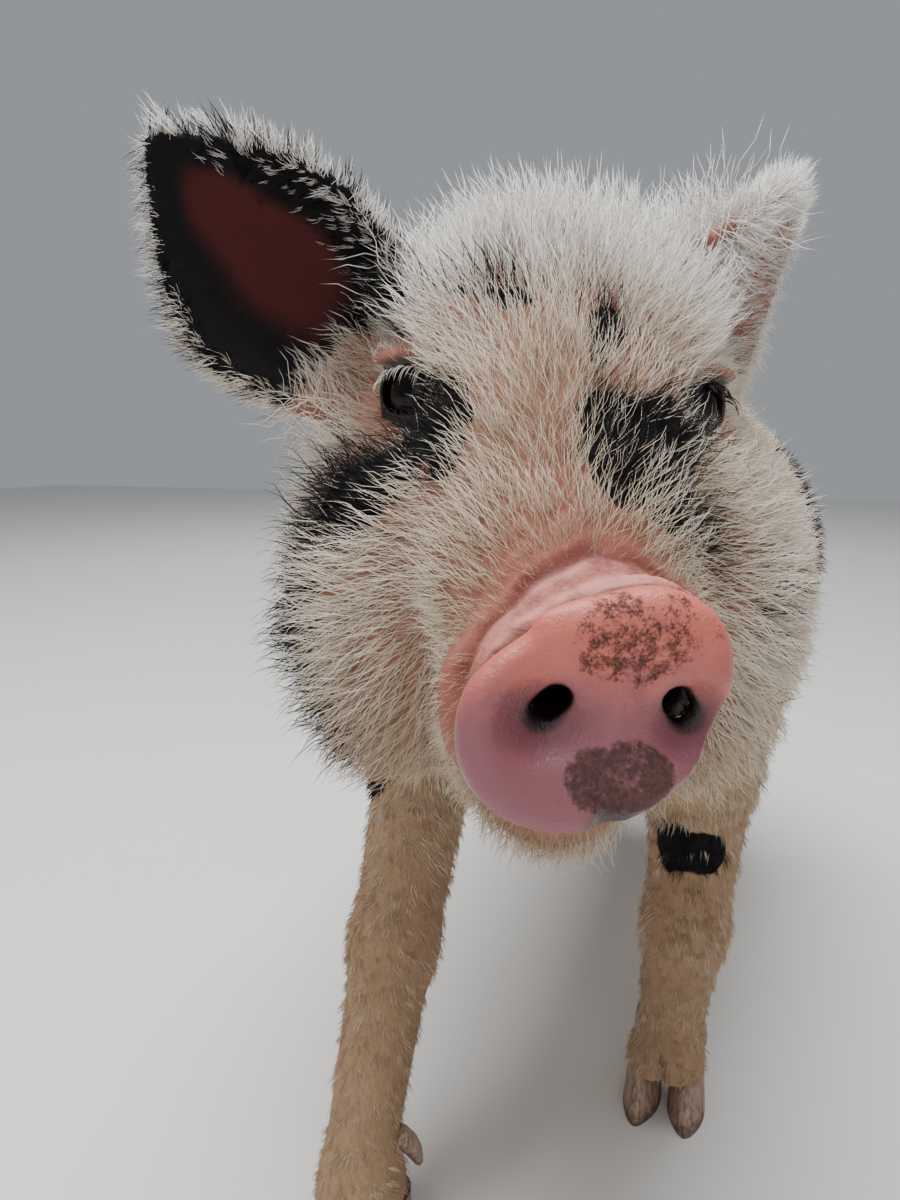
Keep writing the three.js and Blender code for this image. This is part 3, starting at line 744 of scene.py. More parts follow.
@dataclass
class Head:
    """Skull, jaw and muzzle, with the parts of the face, in the head's frame."""

    snout: Snout = field(default_factory=Snout)
    eyes: tuple[Eye, Eye] = field(default_factory=lambda: (Eye(1), Eye(-1)))
    eye_hollow: float = 19
    mouth_spread: float = 1.15
    mouth_radius: float = 2.0

    def skull(self, q: Array) -> Array:
        """Measures the bare head, before the folds of its face.

        Args:
            q: Points in the head's frame.

        Returns:
            The distance to it.
        """
        muzzle_end = self.snout.centre - self.snout.place.axes[2] * 24
        m = mirrored(q)
        upper = melt(
            18,
            ball(q, vec(0, 22, 4), vec(46, 43, 41)),
            ball(q, vec(0, -8, -2), vec(32, 30, 34)),
            limb(q, vec(0, -18, -26), muzzle_end, 35, 23.5),
            ball(m, vec(33, 16, -54), vec(34, 40, 54)),
            ball(m, vec(25, 0, 13), vec(12, 13, 8)),
        )
        jaw = limb(q, vec(0, 8, -80), vec(0, -50, -83), 31, 18)
        eye = self.eyes[0]
        middle = eye.solid_centre + eye.socket_way * (eye.radius - 2 + self.eye_hollow)
        hollow = ball(m, middle, vec(1, 1, 1) * self.eye_hollow)
        return carve(9, melt(7, upper, jaw), hollow)

    def face(self, q: Array, skin: Array) -> Array:
        """Adds snout, folds, mouth and lids to the skin.

        Args:
            q: Points in the head's frame.
            skin: The skin's distance so far.

        Returns:
            The skin's distance with the face.
        """
        close = np.all((q > vec(-52, -112, -118)) & (q < vec(56, -4, 16)), axis=1)
        if close.any():
            skin = skin.copy()
            skin[close] = self._muzzle(q[close], skin[close])
        for eye in self.eyes:
            close = norm(q - eye.place.origin) < 42
            if close.any():
                skin = skin.copy()
                skin[close] = eye.lids(q[close], skin[close])
        return skin

    def _muzzle(self, q: Array, skin: Array) -> Array:
        """Adds the snout, its folds and the mouth line.

        Args:
            q: Points in the head's frame.
            skin: The skin's distance so far.

        Returns:
            The skin's distance with the muzzle.
        """
        snout = self.snout
        across, up, out = snout.coordinates(q)
        skin = melt(4, skin, snout.ring(q, -0.8, 20.5, 5.0, 3.0))
        skin = melt(1.6, skin, snout.ring(q, -1.4, 11.4, 3.2, 6.0))
        wrinkle = 0.35 * np.sin(out * 1.9 + 1.4 * np.sin(across * 0.21) + 0.5 * np.sin(across * 0.6))
        skin = skin + wrinkle * smooth(2, 10, up) * smooth(-7, -10, out) * smooth(-44, -26, out)
        line = [a * vec(self.mouth_spread, 1, 1) for a in MOUTH]
        bars = [limb(mirrored(q), a, b, self.mouth_radius, self.mouth_radius) for a, b in zip(line, line[1:])]
        skin = carve(2.2, skin, np.minimum(FAR, np.minimum.reduce(bars)))
        skin = melt(1.3, skin, snout.disc(q))
        return snout.nostrils(q, skin)


@dataclass
class Piglet:
    """The whole animal's skin as one distance field, in millimetres."""

    trunk: Trunk = field(default_factory=Trunk)
    head: Head = field(default_factory=Head)
    tail: Tail = field(default_factory=Tail)
    inset: float = 1.0

    def skin(self, p: Array) -> Array:
        """Measures the whole pig.

        Args:
            p: The points.

        Returns:
            The distance to the skin.
        """
        q = HEAD.inward(p)
        body = melt(26, self.trunk.shape(p), self.trunk.neck(p))
        whole = melt(16, body, near(q, vec(-110, -150, -160), vec(110, 140, 110), self.head.skull))
        for leg in LEGS:
            whole = melt(12, whole, leg.shape(p))
        whole = melt(8, whole + self.inset, self.tail.shape(p))
        for ear in EARS:
            whole = melt(8, whole, ear.shape(q))
        whole = self.head.face(q, whole)
        low = p[:, 2] < 60
        if low.any():
            feet = whole[low]
            for leg in LEGS:
                cut = np.maximum(carve(3, feet, leg.cleft(p[low])), leg.coronet(p[low]))
                feet = np.where(leg.near_foot(p[low]), cut, feet)
            whole = whole.copy()
            whole[low] = feet
        return whole


PIGLET = Piglet()


def slope(shape: Field, p: Array, step: float = 0.05) -> tuple[Array, Array]:
    """Measures a field and how it changes.

    Args:
        shape: The field.
        p: The points.
        step: How far apart the places are that it is compared at.

    Returns:
        The field's values at the points, and its slope there.
    """
    value = shape(p)
    ways = [(shape(p + step * axis) - value) / step for axis in np.eye(3)]
    return value, np.stack(ways, 1)


def settle(
    shape: Field, p: Array, low: Array | None = None, high: Array | None = None, steps: int = 3
) -> Array:
    """Moves points onto the surface where a field is zero.

    Args:
        shape: The field.
        p: The points.
        low: The lowest place of each point, or nothing.
        high: The highest place of each point.
        steps: How many times they move.

    Returns:
        The moved points.
    """
    for _ in range(steps):
        value, way = slope(shape, p)
        move = way * (value / np.maximum((way**2).sum(1), 0.3))[:, None]
        p = p - move * np.minimum(1, 2.0 / np.maximum(norm(move), TINY))[:, None]
        if low is not None:
            p = np.clip(p, low, high)
    return p


def every(axes: Sequence[Array]) -> Array:
    """Returns every place of a grid with the given places along x, y and z."""
    return np.stack(np.meshgrid(*axes, indexing="ij"), -1).reshape(-1, 3)


def grid_values(shape: Field, axes: Sequence[Array], block: int = 8) -> Array:
    """Measures a field on a grid, in full only in the blocks that its surface may cross.

    Args:
        shape: The field.
        axes: The grid's places along x, y and z.
        block: How many places a block has along each side.

    Returns:
        The values on the grid.
    """
    counts = [len(a) for a in axes]
    values = np.ones(counts, np.float32) * FAR
    starts = [np.arange(0, n, block) for n in counts]
    begins = [a[s] for a, s in zip(axes, starts)]
    ends = [a[np.minimum(s + block, len(a) - 1)] for a, s in zip(axes, starts)]
    centres = every([(a + b) / 2 for a, b in zip(begins, ends)])
    sizes = norm(every([(b - a) / 2 for a, b in zip(begins, ends)]))
    rough = shape(centres)
    firsts = every(starts)
    far = np.abs(rough) > sizes * BLOCK_SLACK + BLOCK_MARGIN
    for (i, j, k), value in zip(firsts[far], rough[far]):
        values[i : i + block, j : j + block, k : k + block] = value
    offsets = every([np.arange(block)] * 3)
    index = (firsts[~far][:, None] + offsets[None]).reshape(-1, 3)
    index = index[np.all(index < counts, axis=1)]
    for part in np.array_split(index, max(1, len(index) // BATCH)):
        p = np.stack([axes[k][part[:, k]] for k in range(3)], 1)
        values[tuple(part.T)] = shape(p)
    return values


def surface_nets(shape: Field, axes: Sequence[Array]) -> tuple[Array, Array]:
    """Meshes the surface where a field is zero.

    Args:
        shape: The field.
        axes: The grid's places along x, y and z.

    Returns:
        The points and the triangles.
    """
    values = grid_values(shape, axes)
    inside = values < 0
    shape3 = np.array(values.shape)
    count = np.zeros(shape3 - 1, np.uint8)
    corners = [np.array([c & 1, (c >> 1) & 1, (c >> 2) & 1]) for c in range(8)]
    for a in corners:
        count += inside[tuple(slice(d, n - 1 + d) for d, n in zip(a, shape3))]
    cells = np.argwhere((count > 0) & (count < 8))
    ids = np.full(shape3 - 1, -1, np.int64)
    ids[tuple(cells.T)] = np.arange(len(cells))

    def place(index: Array) -> Array:
        """Returns where grid places are."""
        return np.stack([axes[k][index[:, k]] for k in range(3)], 1)

    total = np.zeros((len(cells), 3))
    hits = np.zeros(len(cells))
    for a in corners:
        for b in corners:
            if np.abs(a - b).sum() != 1 or (b - a).sum() < 0:
                continue
            va = values[tuple((cells + a).T)].astype(float)
            vb = values[tuple((cells + b).T)].astype(float)
            crossed = (va < 0) != (vb < 0)
            t = va[crossed] / (va[crossed] - vb[crossed])
            pa, pb = place(cells[crossed] + a), place(cells[crossed] + b)
            total[crossed] += pa + (pb - pa) * t[:, None]
            hits[crossed] += 1
    low, high = place(cells), place(cells + 1)
    margin = (high - low) * CELL_MARGIN
    points = settle(shape, total / hits[:, None], low + margin, high - margin)
    quads = []
    for axis in range(3):
        u, v = np.eye(3, dtype=int)[(axis + 1) % 3], np.eye(3, dtype=int)[(axis + 2) % 3]
        lower = [slice(1, n - 1) for n in shape3]
        upper = list(lower)
        lower[axis], upper[axis] = slice(0, shape3[axis] - 1), slice(1, shape3[axis])
        first = inside[tuple(lower)]
        found = np.argwhere(first != inside[tuple(upper)])
        out = first[tuple(found.T)]
        e = found + np.array([0 if k == axis else 1 for k in range(3)])
        ring = np.stack([ids[tuple((e - s).T)] for s in (u + v, v, 0 * u, u)], 1)
        quads.append(np.where(out[:, None], ring, ring[:, ::-1]))
    q = np.concatenate(quads)
    short = norm(points[q[:, 0]] - points[q[:, 2]]) <= norm(points[q[:, 1]] - points[q[:, 3]])
    one = np.where(short[:, None], q[:, [0, 1, 2]], q[:, [0, 1, 3]])
    two = np.where(short[:, None], q[:, [0, 2, 3]], q[:, [1, 2, 3]])
    return points, np.concatenate([one, two])


def refine(points: Array, triangles: Array, chosen: Array) -> tuple[Array, Array, int]:
    """Splits the chosen triangles in four, and their neighbours so that no crack is left.

    Args:
        points: The mesh's points.
        triangles: Its triangles.
        chosen: Which triangles are split.

    Returns:
        The points, the triangles, and how many of the points are old.
    """
    sides = np.concatenate([triangles[:, [0, 1]], triangles[:, [1, 2]], triangles[:, [2, 0]]])
    edges, where = np.unique(np.sort(sides, axis=1), axis=0, return_inverse=True)
    where = where.reshape(3, -1).T
    marked = np.zeros(len(edges), bool)
    marked[where[chosen]] = True
    middle = np.full(len(edges), -1)
    middle[marked] = len(points) + np.arange(marked.sum())
    grown = np.concatenate([points, points[edges[marked]].mean(1)])
    mids = middle[where]
    number = (mids >= 0).sum(1)
    out = [triangles[number == 0]]
    full = number == 3
    (a, b, c), (ab, bc, ca) = triangles[full].T, mids[full].T
    out += [np.stack(t, 1) for t in ((a, ab, ca), (ab, b, bc), (ca, bc, c), (ab, bc, ca))]
    for k in range(3):
        turned = np.roll(triangles, -k, axis=1)
        halves = np.roll(mids, -k, axis=1)
        single = (number == 1) & (halves[:, 0] >= 0)
        (a, b, c), m = turned[single].T, halves[single, 0]
        out += [np.stack(t, 1) for t in ((a, m, c), (m, b, c))]
        double = (number == 2) & (halves[:, 2] < 0)
        (a, b, c), (m, n) = turned[double].T, halves[double][:, :2].T
        out += [np.stack(t, 1) for t in ((m, b, n), (a, m, n), (a, n, c))]
    return grown, np.concatenate(out), len(points)


def facings(points: Array, triangles: Array) -> Array:
    """Returns each triangle's normal, as long as twice its area."""
    a, b, c = (points[triangles[:, k]] for k in range(3))
    return np.cross(b - a, c - a)


def point_normals(points: Array, triangles: Array) -> Array:
    """Works out each point's normal, as the mean of the triangles round it.

    Args:
        points: The mesh's points.
        triangles: Its triangles.

    Returns:
        The normals.
    """
    total = np.zeros_like(points)
    for k in range(3):
        np.add.at(total, triangles[:, k], facings(points, triangles))
    return unit(total)


@dataclass(frozen=True)
class Patch:
    """A coloured patch round a line from one point to another, on the head or on the body."""

    start: tuple[float, float, float]
    end: tuple[float, float, float]
    radius: float
    on_head: bool = True
    soft: float = 4.0

    def cover(self, p: Array, q: Array, ragged: Array) -> Array:
        """Finds how much of the patch's colour points have.

        Args:
            p: The points.
            q: The same points in the head's frame.
            ragged: What makes its edge ragged.

        Returns:
            The share at each point.
        """
        there = q if self.on_head else p
        gap = limb(there, vec(*self.start), vec(*self.end) + 1e-3, self.radius, self.radius)
        return smooth(self.soft * 0.5, -self.soft * 0.5, gap + ragged)


DARK_PATCHES = (
    Patch((-33, -24, -6), (-55, -10, -28), 12),
    Patch((-24, -33, -8), (-27, -34, -14), 7),
    Patch((-31, -16, 0), (-44, -2, -3), 8),
    Patch((7, -31, 18), (5, -39, 8), 3.4, soft=5),
    Patch((9, -47, -9), (27, -36, -9), 9.5, soft=9),
    Patch((12, -50, -16), (25, -46, -24), 8.5, soft=8),
    Patch((26, -44, -22), (36, -30, -36), 7, soft=8),
    Patch((32, -22, -2), (38, -10, -2), 8),
    Patch((-26, -16, 24), (-12, -28, 21), 2.4, soft=2),
    Patch((-66, 2, -52), (-55, -4, -100), 9, soft=7),
    Patch((-52, 18, 30), (-58, 26, 44), 14),
    Patch((-40, 4, 22), (-46, 12, 34), 6, soft=6),
    Patch((58, -12, -46), (57, -17, -62), 5),
    Patch((62, -1, -78), (61, 4, -94), 5.5, soft=4),
    Patch((-58, -98, 222), (-70, -34, 148), 22, on_head=False),
    Patch((84, 96, 232), (86, 150, 205), 30, on_head=False),
    Patch((38, -16, 117), (64, -18, 114), 9, on_head=False),
    Patch((-10, 66, 292), (18, 96, 290), 22, on_head=False),
    Patch((-82, 142, 214), (-82, 178, 196), 24, on_head=False),
    Patch((-66, 238, 190), (-56, 250, 168), 19, on_head=False),
    Patch((44, 242, 246), (20, 262, 236), 24, on_head=False),
    Patch((70, 30, 150), (60, 44, 140), 13, on_head=False),
)
PINK_PATCHES = (
    Patch((-34, -9, 10), (-44, 4, 9), 5.5, soft=7),
    Patch((0, -60, -28), (-6, -64, -34), 17, soft=16),
    Patch((-22, -62, -48), (-24, -60, -66), 10, soft=14),
    Patch((26, -60, -48), (28, -58, -66), 7, soft=12),
)


def ripple(p: Array, size: float, seed: int) -> Array:
    """Makes a smooth random value that changes over a given size.

    Args:
        p: The points.
        size: How far apart its peaks are.
        seed: The seed of its chance.

    Returns:
        The value at each point, about -1 to 1.
    """
    rng = np.random.default_rng(seed)
    total = np.zeros(len(p))
    for _ in range(7):
        way = unit(rng.normal(size=3)) * rng.uniform(0.6, 1.6) * 2 * math.pi / size
        total += np.sin(p @ way + rng.uniform(0, 6.28))
    return total / 3.0


class Region(Enum):
    """The parts of the skin that carry a coat piece each."""

    CROWN = 0
    FACE = 1
    CHEEK_LEFT = 2
    CHEEK_RIGHT = 3
    EAR_LEFT = 4
    EAR_RIGHT = 5
    NECK = 6
    BACK = 7
    FLANK_LEFT = 8
    FLANK_RIGHT = 9
    BELLY = 10
    LEGS_FRONT = 11
    LEGS_HIND = 12
    TAIL = 13


@dataclass
class Lie:
    """What the skin carries at each point: its markings and how the hair grows."""

    points: Array
    normals: Array
    values: dict[str, Array] = field(default_factory=dict)

    def work_out(self) -> None:
        """Fills in every value."""
        self.in_head = HEAD.inward(self.points)
        self._ears()
        self._markings()
        self._snout()
        self._parts()
        self._flow()
        self._length()
        self._density()
        self.region = self._regions()

    def _raise(self, key: str, value: Array) -> None:
        """Keeps the higher of a value and what is there under its name."""
        self.values[key] = np.maximum(self.values.get(key, 0.0), value)

    def _ears(self) -> None:
        """Finds what belongs to the ears, and their insides, edges and cups."""
        q, n = self.in_head, self.normals @ HEAD.axes.T
        self.values["ear_side"] = np.zeros(len(q))
        for ear in EARS:
            u, v, height = ear.leaf(q)
            along, facing = ear.place.inward(q)[:, 0], n @ ear.place.axes[1]
            close = norm(q - (ear.root + ear.tip) / 2) < 70
            on = close & (along > -2) & (np.abs(height) < 5) & (np.abs(v) < 1.3)
            share = smooth(-2, 9, along) * on
            inner = on * smooth(-0.1, 0.35, facing) * smooth(0.4, -0.4, height)
            cup = np.hypot((u - 0.5) / 0.42, (v - 0.04) / 0.66) + 0.12 * ripple(q, 22, 33)
            self._raise("ear", share)
            self._raise("ear_inside", inner * smooth(2, 8, along))
            self._raise("ear_edge", on * np.maximum(smooth(0.8, 1.0, np.abs(v)), smooth(0.9, 0.985, u)))
            self._raise("ear_cup", on * smooth(1.15, 0.35, cup))
            self._raise("ear_upper", on * smooth(0.25, 0.75, v))
            self.values["ear_side"] = np.where(share > 0.15, ear.side, self.values["ear_side"])

    def _markings(self) -> None:
        """Lays the dark and pink markings, the tan that is partly painted shade low down, and the white that
        is partly painted light on top.
        """
        p, q, v = self.points, self.in_head, self.values
        ragged = 1.5 * ripple(p, 17, 3) + 0.8 * ripple(p, 6, 4)
        for patch in DARK_PATCHES:
            self._raise("dark", patch.cover(p, q, ragged))
        self._raise("dark", v["ear"] * (v["ear_side"] < 0))
        for patch in PINK_PATCHES:
            self._raise("pink", patch.cover(p, q, ragged * 0.5))
        self._raise("pink", v["ear_inside"] * v["ear_cup"])
        # The tan grows towards the lower body, the jaw and the muzzle. It is partly the coat's own tan and
        # partly painted shade where shade falls, and the ripple adds random tone.
        low = smooth(190, 95, p[:, 2])
        jowl = smooth(-58, -104, q[:, 2]) * smooth(60, 20, q[:, 1])
        muzzle = smooth(-30, -62, q[:, 1]) * 0.5
        v["warm"] = np.clip(np.maximum.reduce([low, jowl, muzzle]) + 0.08 * ripple(p, 26, 9), 0, 1)
        # Whiter hair on the crown and brow, and a little on the sides of the head: partly the coat's own
        # white, partly painted light from above.
        brow = smooth(0, 28, q[:, 2]) * smooth(-50, -20, q[:, 1])
        cheek = smooth(26, 46, np.abs(q[:, 0])) * smooth(-90, -50, q[:, 2]) * smooth(70, 30, q[:, 1])
        v["cool"] = np.maximum(brow, 0.3 * cheek)

    def _snout(self) -> None:
        """Marks the bald disc, the painted shade in the creases behind it, the painted shadow in the dish
        round each nostril and the painted shade inside the nostrils.
        """
        q, v, snout = self.in_head, self.values, PIGLET.head.snout
        across, up, out = snout.coordinates(q)
        away = norm(q - snout.centre)
        close = away < 45
        for s in snout.nostril_places(q):
            hole = snout.hole(s)
            pit = norm((s - vec(1.0, -1.0, 0)) / vec(9.0, 7.8, 9))
            self._raise("hole", smooth(1.6, 0.8, hole) * close)
            # Painted shade inside the nostril bores, darker further in.
            self._raise("deep", smooth(1.1, 0.3, hole) * smooth(-1.6, -3.2, out) * close)
            self._raise("deep", smooth(2.2, 1.2, hole) * smooth(-3.6, -5.0, out) * close)
            # Painted shadow in the shallow dish round each nostril.
            self._raise("nostril", smooth(1.15, 0.5, pit) * smooth(0.6, -2.4, out))
        ragged = ripple(q, 9, 31)
        # Painted shade along the two creases behind the disc, kept off the nostril holes.
        front = smooth(1.5, 0.2, np.abs(out + 8.4 + 0.25 * ragged))
        back = smooth(1.8, 0.2, np.abs(out + 15.7 + 0.5 * ragged)) * smooth(-3, 7, up) * 0.9
        outside = smooth(19, 21, snout.reach(across, up))
        lip = smooth(-17.5, -13.5, out) * smooth(-4, 7, up + 0.3 * across) * close
        v["crease"] = np.maximum(front, back) * close * (1 - v["hole"]) * outside
        v["disc"] = np.maximum(smooth(-8.6, -7.4, out) * close, v["hole"])
        v["disc_up"] = np.clip(up / (snout.height / 2), -1.2, 1.2) * close
        v["bare"] = np.maximum(v["disc"], lip)
        v["muzzle"] = smooth(46, 28, away)
        v["nostril"] = v["nostril"] * v["disc"]
        self._mud(across, up, ragged)

    def _mud(self, across: Array, up: Array, ragged: Array) -> None:
        """Marks where mud sticks to the disc.

        Args:
            across: The places across the disc.
            up: The places up it.
            ragged: What makes the edges of the mud ragged.
        """
        disc = self.values["disc"]
        blob = np.hypot((across - 5.0) / 11.5, (up + 12.5) / 7.6) + 0.09 * ragged
        band = np.hypot((across - 6.0) / 19, (up - 14.0) / 12) + 0.1 * ragged
        chin = np.hypot((across - 5) / 6.5, (up + 21.5) / 3.6)
        self.values["mud"] = smooth(1.3, 0.75, blob) * disc
        self.values["speckle"] = np.maximum(0.82 * smooth(1.35, 0.5, band), 0.47) * disc
        self.values["grey"] = smooth(1.2, 0.7, chin) * disc

    def _parts(self) -> None:
        """Finds how far each point belongs to the head, the legs and the tail."""
        p, q = self.points, self.in_head
        self.of_head = smooth(46, 26, q[:, 1]) * (norm(q - vec(0, 0, -35)) < 120)
        for leg in LEGS:
            self._raise("leg", smooth(5, -1, leg.shape(p)) * smooth(165, 120, p[:, 2]))
        gap, self.tail_share, self.tail_way = PIGLET.tail.along(p)
        self.of_tail = smooth(13, 8, gap) * smooth(0.05, 0.2, self.tail_share)
        self.values["flesh"] = np.maximum(self.of_head, self.values["ear"])

    def _flow(self) -> None:
        """Lays the hair away from nose and eyes, along trunk, ears and tail, and down the legs."""
        p, q, n, v = self.points, self.in_head, self.normals, self.values
        sideways = 0.5 * np.sign(q[:, 0]) * smooth(12, 45, np.abs(q[:, 0]))
        from_nose = unit(q - vec(2, -84, -52)) + columns(sideways, 0.25, -0.7 * smooth(-20, -70, q[:, 2]))
        along_trunk = unit(columns(0, 1, -0.75 * smooth(0.85, -0.3, n[:, 2])))
        flow = blend(v["leg"], along_trunk, unit(vec(0, 0.25, -1)))
        flow = blend(self.of_head, flow, HEAD.turned(unit(from_nose)))
        for ear in EARS:
            _, across, _ = ear.leaf(q)
            own = v["ear"] * (v["ear_side"] == ear.side)
            fan = across * (0.25 + 1.3 * v["ear_edge"])
            along_ear = HEAD.turned(ear.place.axes[0] + ear.place.axes[2] * fan[:, None])
            flow = np.where(own[:, None] > 0.3, along_ear, flow)
        flow = np.where(self.of_tail[:, None] > 0.5, self.tail_way, flow)
        wander = columns(ripple(p, 24, 11), ripple(p, 24, 12), ripple(p, 24, 13))
        flow = flattened(unit(flow + 0.22 * wander), n)
        for eye in PIGLET.head.eyes:
            s = eye.place.inward(q)
            aside = HEAD.turned(eye.place.turned(unit(s * vec(1, 1, 0) + 1e-6)))
            flow = unit(blend(0.85 * smooth(25, 14, norm(s)), flow, aside))
        self.flow = flattened(flow, n)

    def _length(self) -> None:
        """Works out how long the hair is and how far it stands off the skin."""
        p, q, v, of_head = self.points, self.in_head, self.values, self.of_head
        crown = smooth(2, 34, q[:, 2]) * of_head
        cheek = smooth(22, 46, np.abs(q[:, 0])) * smooth(10, -20, q[:, 2]) * of_head
        back = smooth(0.75, 0.95, self.normals[:, 2]) * (1 - of_head)
        nose = 0.22 + 0.78 * smooth(26, 44, norm(q - PIGLET.head.snout.centre))
        near_eye = np.minimum.reduce([norm(eye.place.inward(q)) for eye in PIGLET.head.eyes])
        length = 10.0 - v["leg"] * (5.0 + smooth(90, 40, p[:, 2]))
        length = (length + of_head * (0.5 + 7.0 * crown + 6.5 * cheek)) * (1 - of_head * (1 - nose))
        ear_length = 4.8 + 1.8 * (v["ear_side"] > 0) + 1.8 * v["ear_edge"] - 0.8 * v["ear_inside"]
        length = np.where(v["ear"] > 0.3, ear_length, length)
        length = np.where(self.of_tail > 0.5, 7 + 12 * smooth(0.8, 1.0, self.tail_share), length)
        length = (length + 3.5 * back) * (0.3 + 0.7 * smooth(12, 25, near_eye))
        lift = 17 + 34 * crown + 12 * cheek + 6 * back - 6 * v["leg"] + 10 * v["ear_edge"]
        lift = lift + 12 * ripple(p, 30, 21) * of_head
        v["length"] = np.maximum(length, 1.6)
        v["lift"] = np.radians(np.clip(lift, 8, 75))

    def _density(self) -> None:
        """Thins the hair out on bare skin, lids, claws and mouth and inside the ears."""
        p, q, v = self.points, self.in_head, self.values
        lids = np.zeros(len(p))
        for eye in PIGLET.head.eyes:
            s = eye.place.inward(q)
            reach = np.hypot((s[:, 0] + eye.side * 2.0) / 12.0, (s[:, 1] + 0.3) / 5.6)
            lids = np.maximum(lids, smooth(1.12, 0.98, reach) * (s[:, 2] > 0) * (norm(s) < 20))
        density = np.ones(len(p)) * (1 - v["bare"]) * (1 - lids)
        bald = np.where(v["ear_side"] > 0, 0.45, 1.0) * (1 - 0.8 * v["ear_upper"])
        density = density * (1 - bald * v["ear_inside"] * (1 - v["ear_edge"]))
        density = density * (1 + 0.6 * v["ear_edge"])
        over_claws = np.minimum.reduce([np.where(leg.near_foot(p), -leg.coronet(p), FAR) for leg in LEGS])
        density = density * smooth(0.4, 2.5, over_claws)
        mouth = norm(mirrored(q) - vec(14, -56, -79))
        v["density"] = density * (0.25 + 0.75 * smooth(8, 16, mouth))
        on_brow = 0.06 + 0.16 * (q[:, 0] > 0)
        v["crossed"] = np.maximum(0.04 + on_brow * self.of_head, v["ear"] * (0.3 + 0.36 * v["ear_edge"]))

    def _regions(self) -> Array:
        """Sorts the points into coat regions.

        Returns:
            The number of each point's region.
        """
        p, q, facing_up = self.points, self.in_head, self.normals[:, 2]
        leg = self.values["leg"] > 0.5
        head = self.of_head > 0.5
        cheek = head & (q[:, 2] < -8) & (q[:, 1] > -52)
        ear, side = self.values["ear"] > 0.3, self.values["ear_side"]
        region = np.full(len(p), Region.BACK.value)
        for part, where in (
            (Region.FLANK_LEFT, facing_up < 0.45),
            (Region.FLANK_RIGHT, (facing_up < 0.45) & (p[:, 0] < 0)),
            (Region.BELLY, facing_up < -0.55),
            (Region.NECK, p[:, 1] < -8),
            (Region.LEGS_FRONT, leg & (p[:, 1] < 100)),
            (Region.LEGS_HIND, leg & (p[:, 1] >= 100)),
            (Region.FACE, head),
            (Region.CROWN, head & (q[:, 2] > 8)),
            (Region.CHEEK_LEFT, cheek & (q[:, 0] > 22)),
            (Region.CHEEK_RIGHT, cheek & (q[:, 0] < -22)),
            (Region.EAR_LEFT, ear & (side > 0)),
            (Region.EAR_RIGHT, ear & (side < 0)),
            (Region.TAIL, self.of_tail > 0.5),
        ):
            region[where] = part.value
        return region


def model_shift() -> Array:
    """Finds where the pig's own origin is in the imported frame, from its two eyes.

    Returns:
        The origin, in metres.
    """
    found = [
        np.mean(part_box("eye_" + eye.name), 0) - HEAD.outward(eye.solid_centre) * MM
        for eye in PIGLET.head.eyes
    ]
    return np.mean(found, 0) * vec(1, 1, 0)


SHIFT = model_shift()


def make_object(name: str, points: Array, faces: Array, link: bool = True) -> Thing:
    """Makes a mesh object from points in the pig's own millimetres.

    Args:
        name: The object's name.
        points: The points.
        faces: The faces, as rows of point numbers.
        link: Whether it goes into the scene.

    Returns:
        The object.
    """
    mesh = bpy.data.meshes.new(name)
    mesh.from_pydata((points * MM + SHIFT).tolist(), [], faces.tolist())
    mesh.shade_smooth()
    thing = bpy.data.objects.new(name, mesh)
    if link:
        bpy.context.scene.collection.objects.link(thing)
    return thing


def put(mesh: bpy.types.Mesh, name: str, values: Array) -> None:
    """Stores a number or a direction at every point of a mesh."""
    kind, key = ("FLOAT", "value") if values.ndim == 1 else ("FLOAT_VECTOR", "vector")
    mesh.attributes.new(name, kind, "POINT").data.foreach_set(key, values.astype(np.float32).ravel())


def colour(code: str) -> tuple[float, float, float, float]:
    """Turns hex digits into a colour.

    Args:
        code: Six hex digits.

    Returns:
        The linear colour, with an opacity of 1.
    """
    parts = [int(code[i : i + 2], 16) / 255 for i in (0, 2, 4)]
    linear = [c / 12.92 if c <= 0.04045 else ((c + 0.055) / 1.055) ** 2.4 for c in parts]
    return (*linear, 1.0)


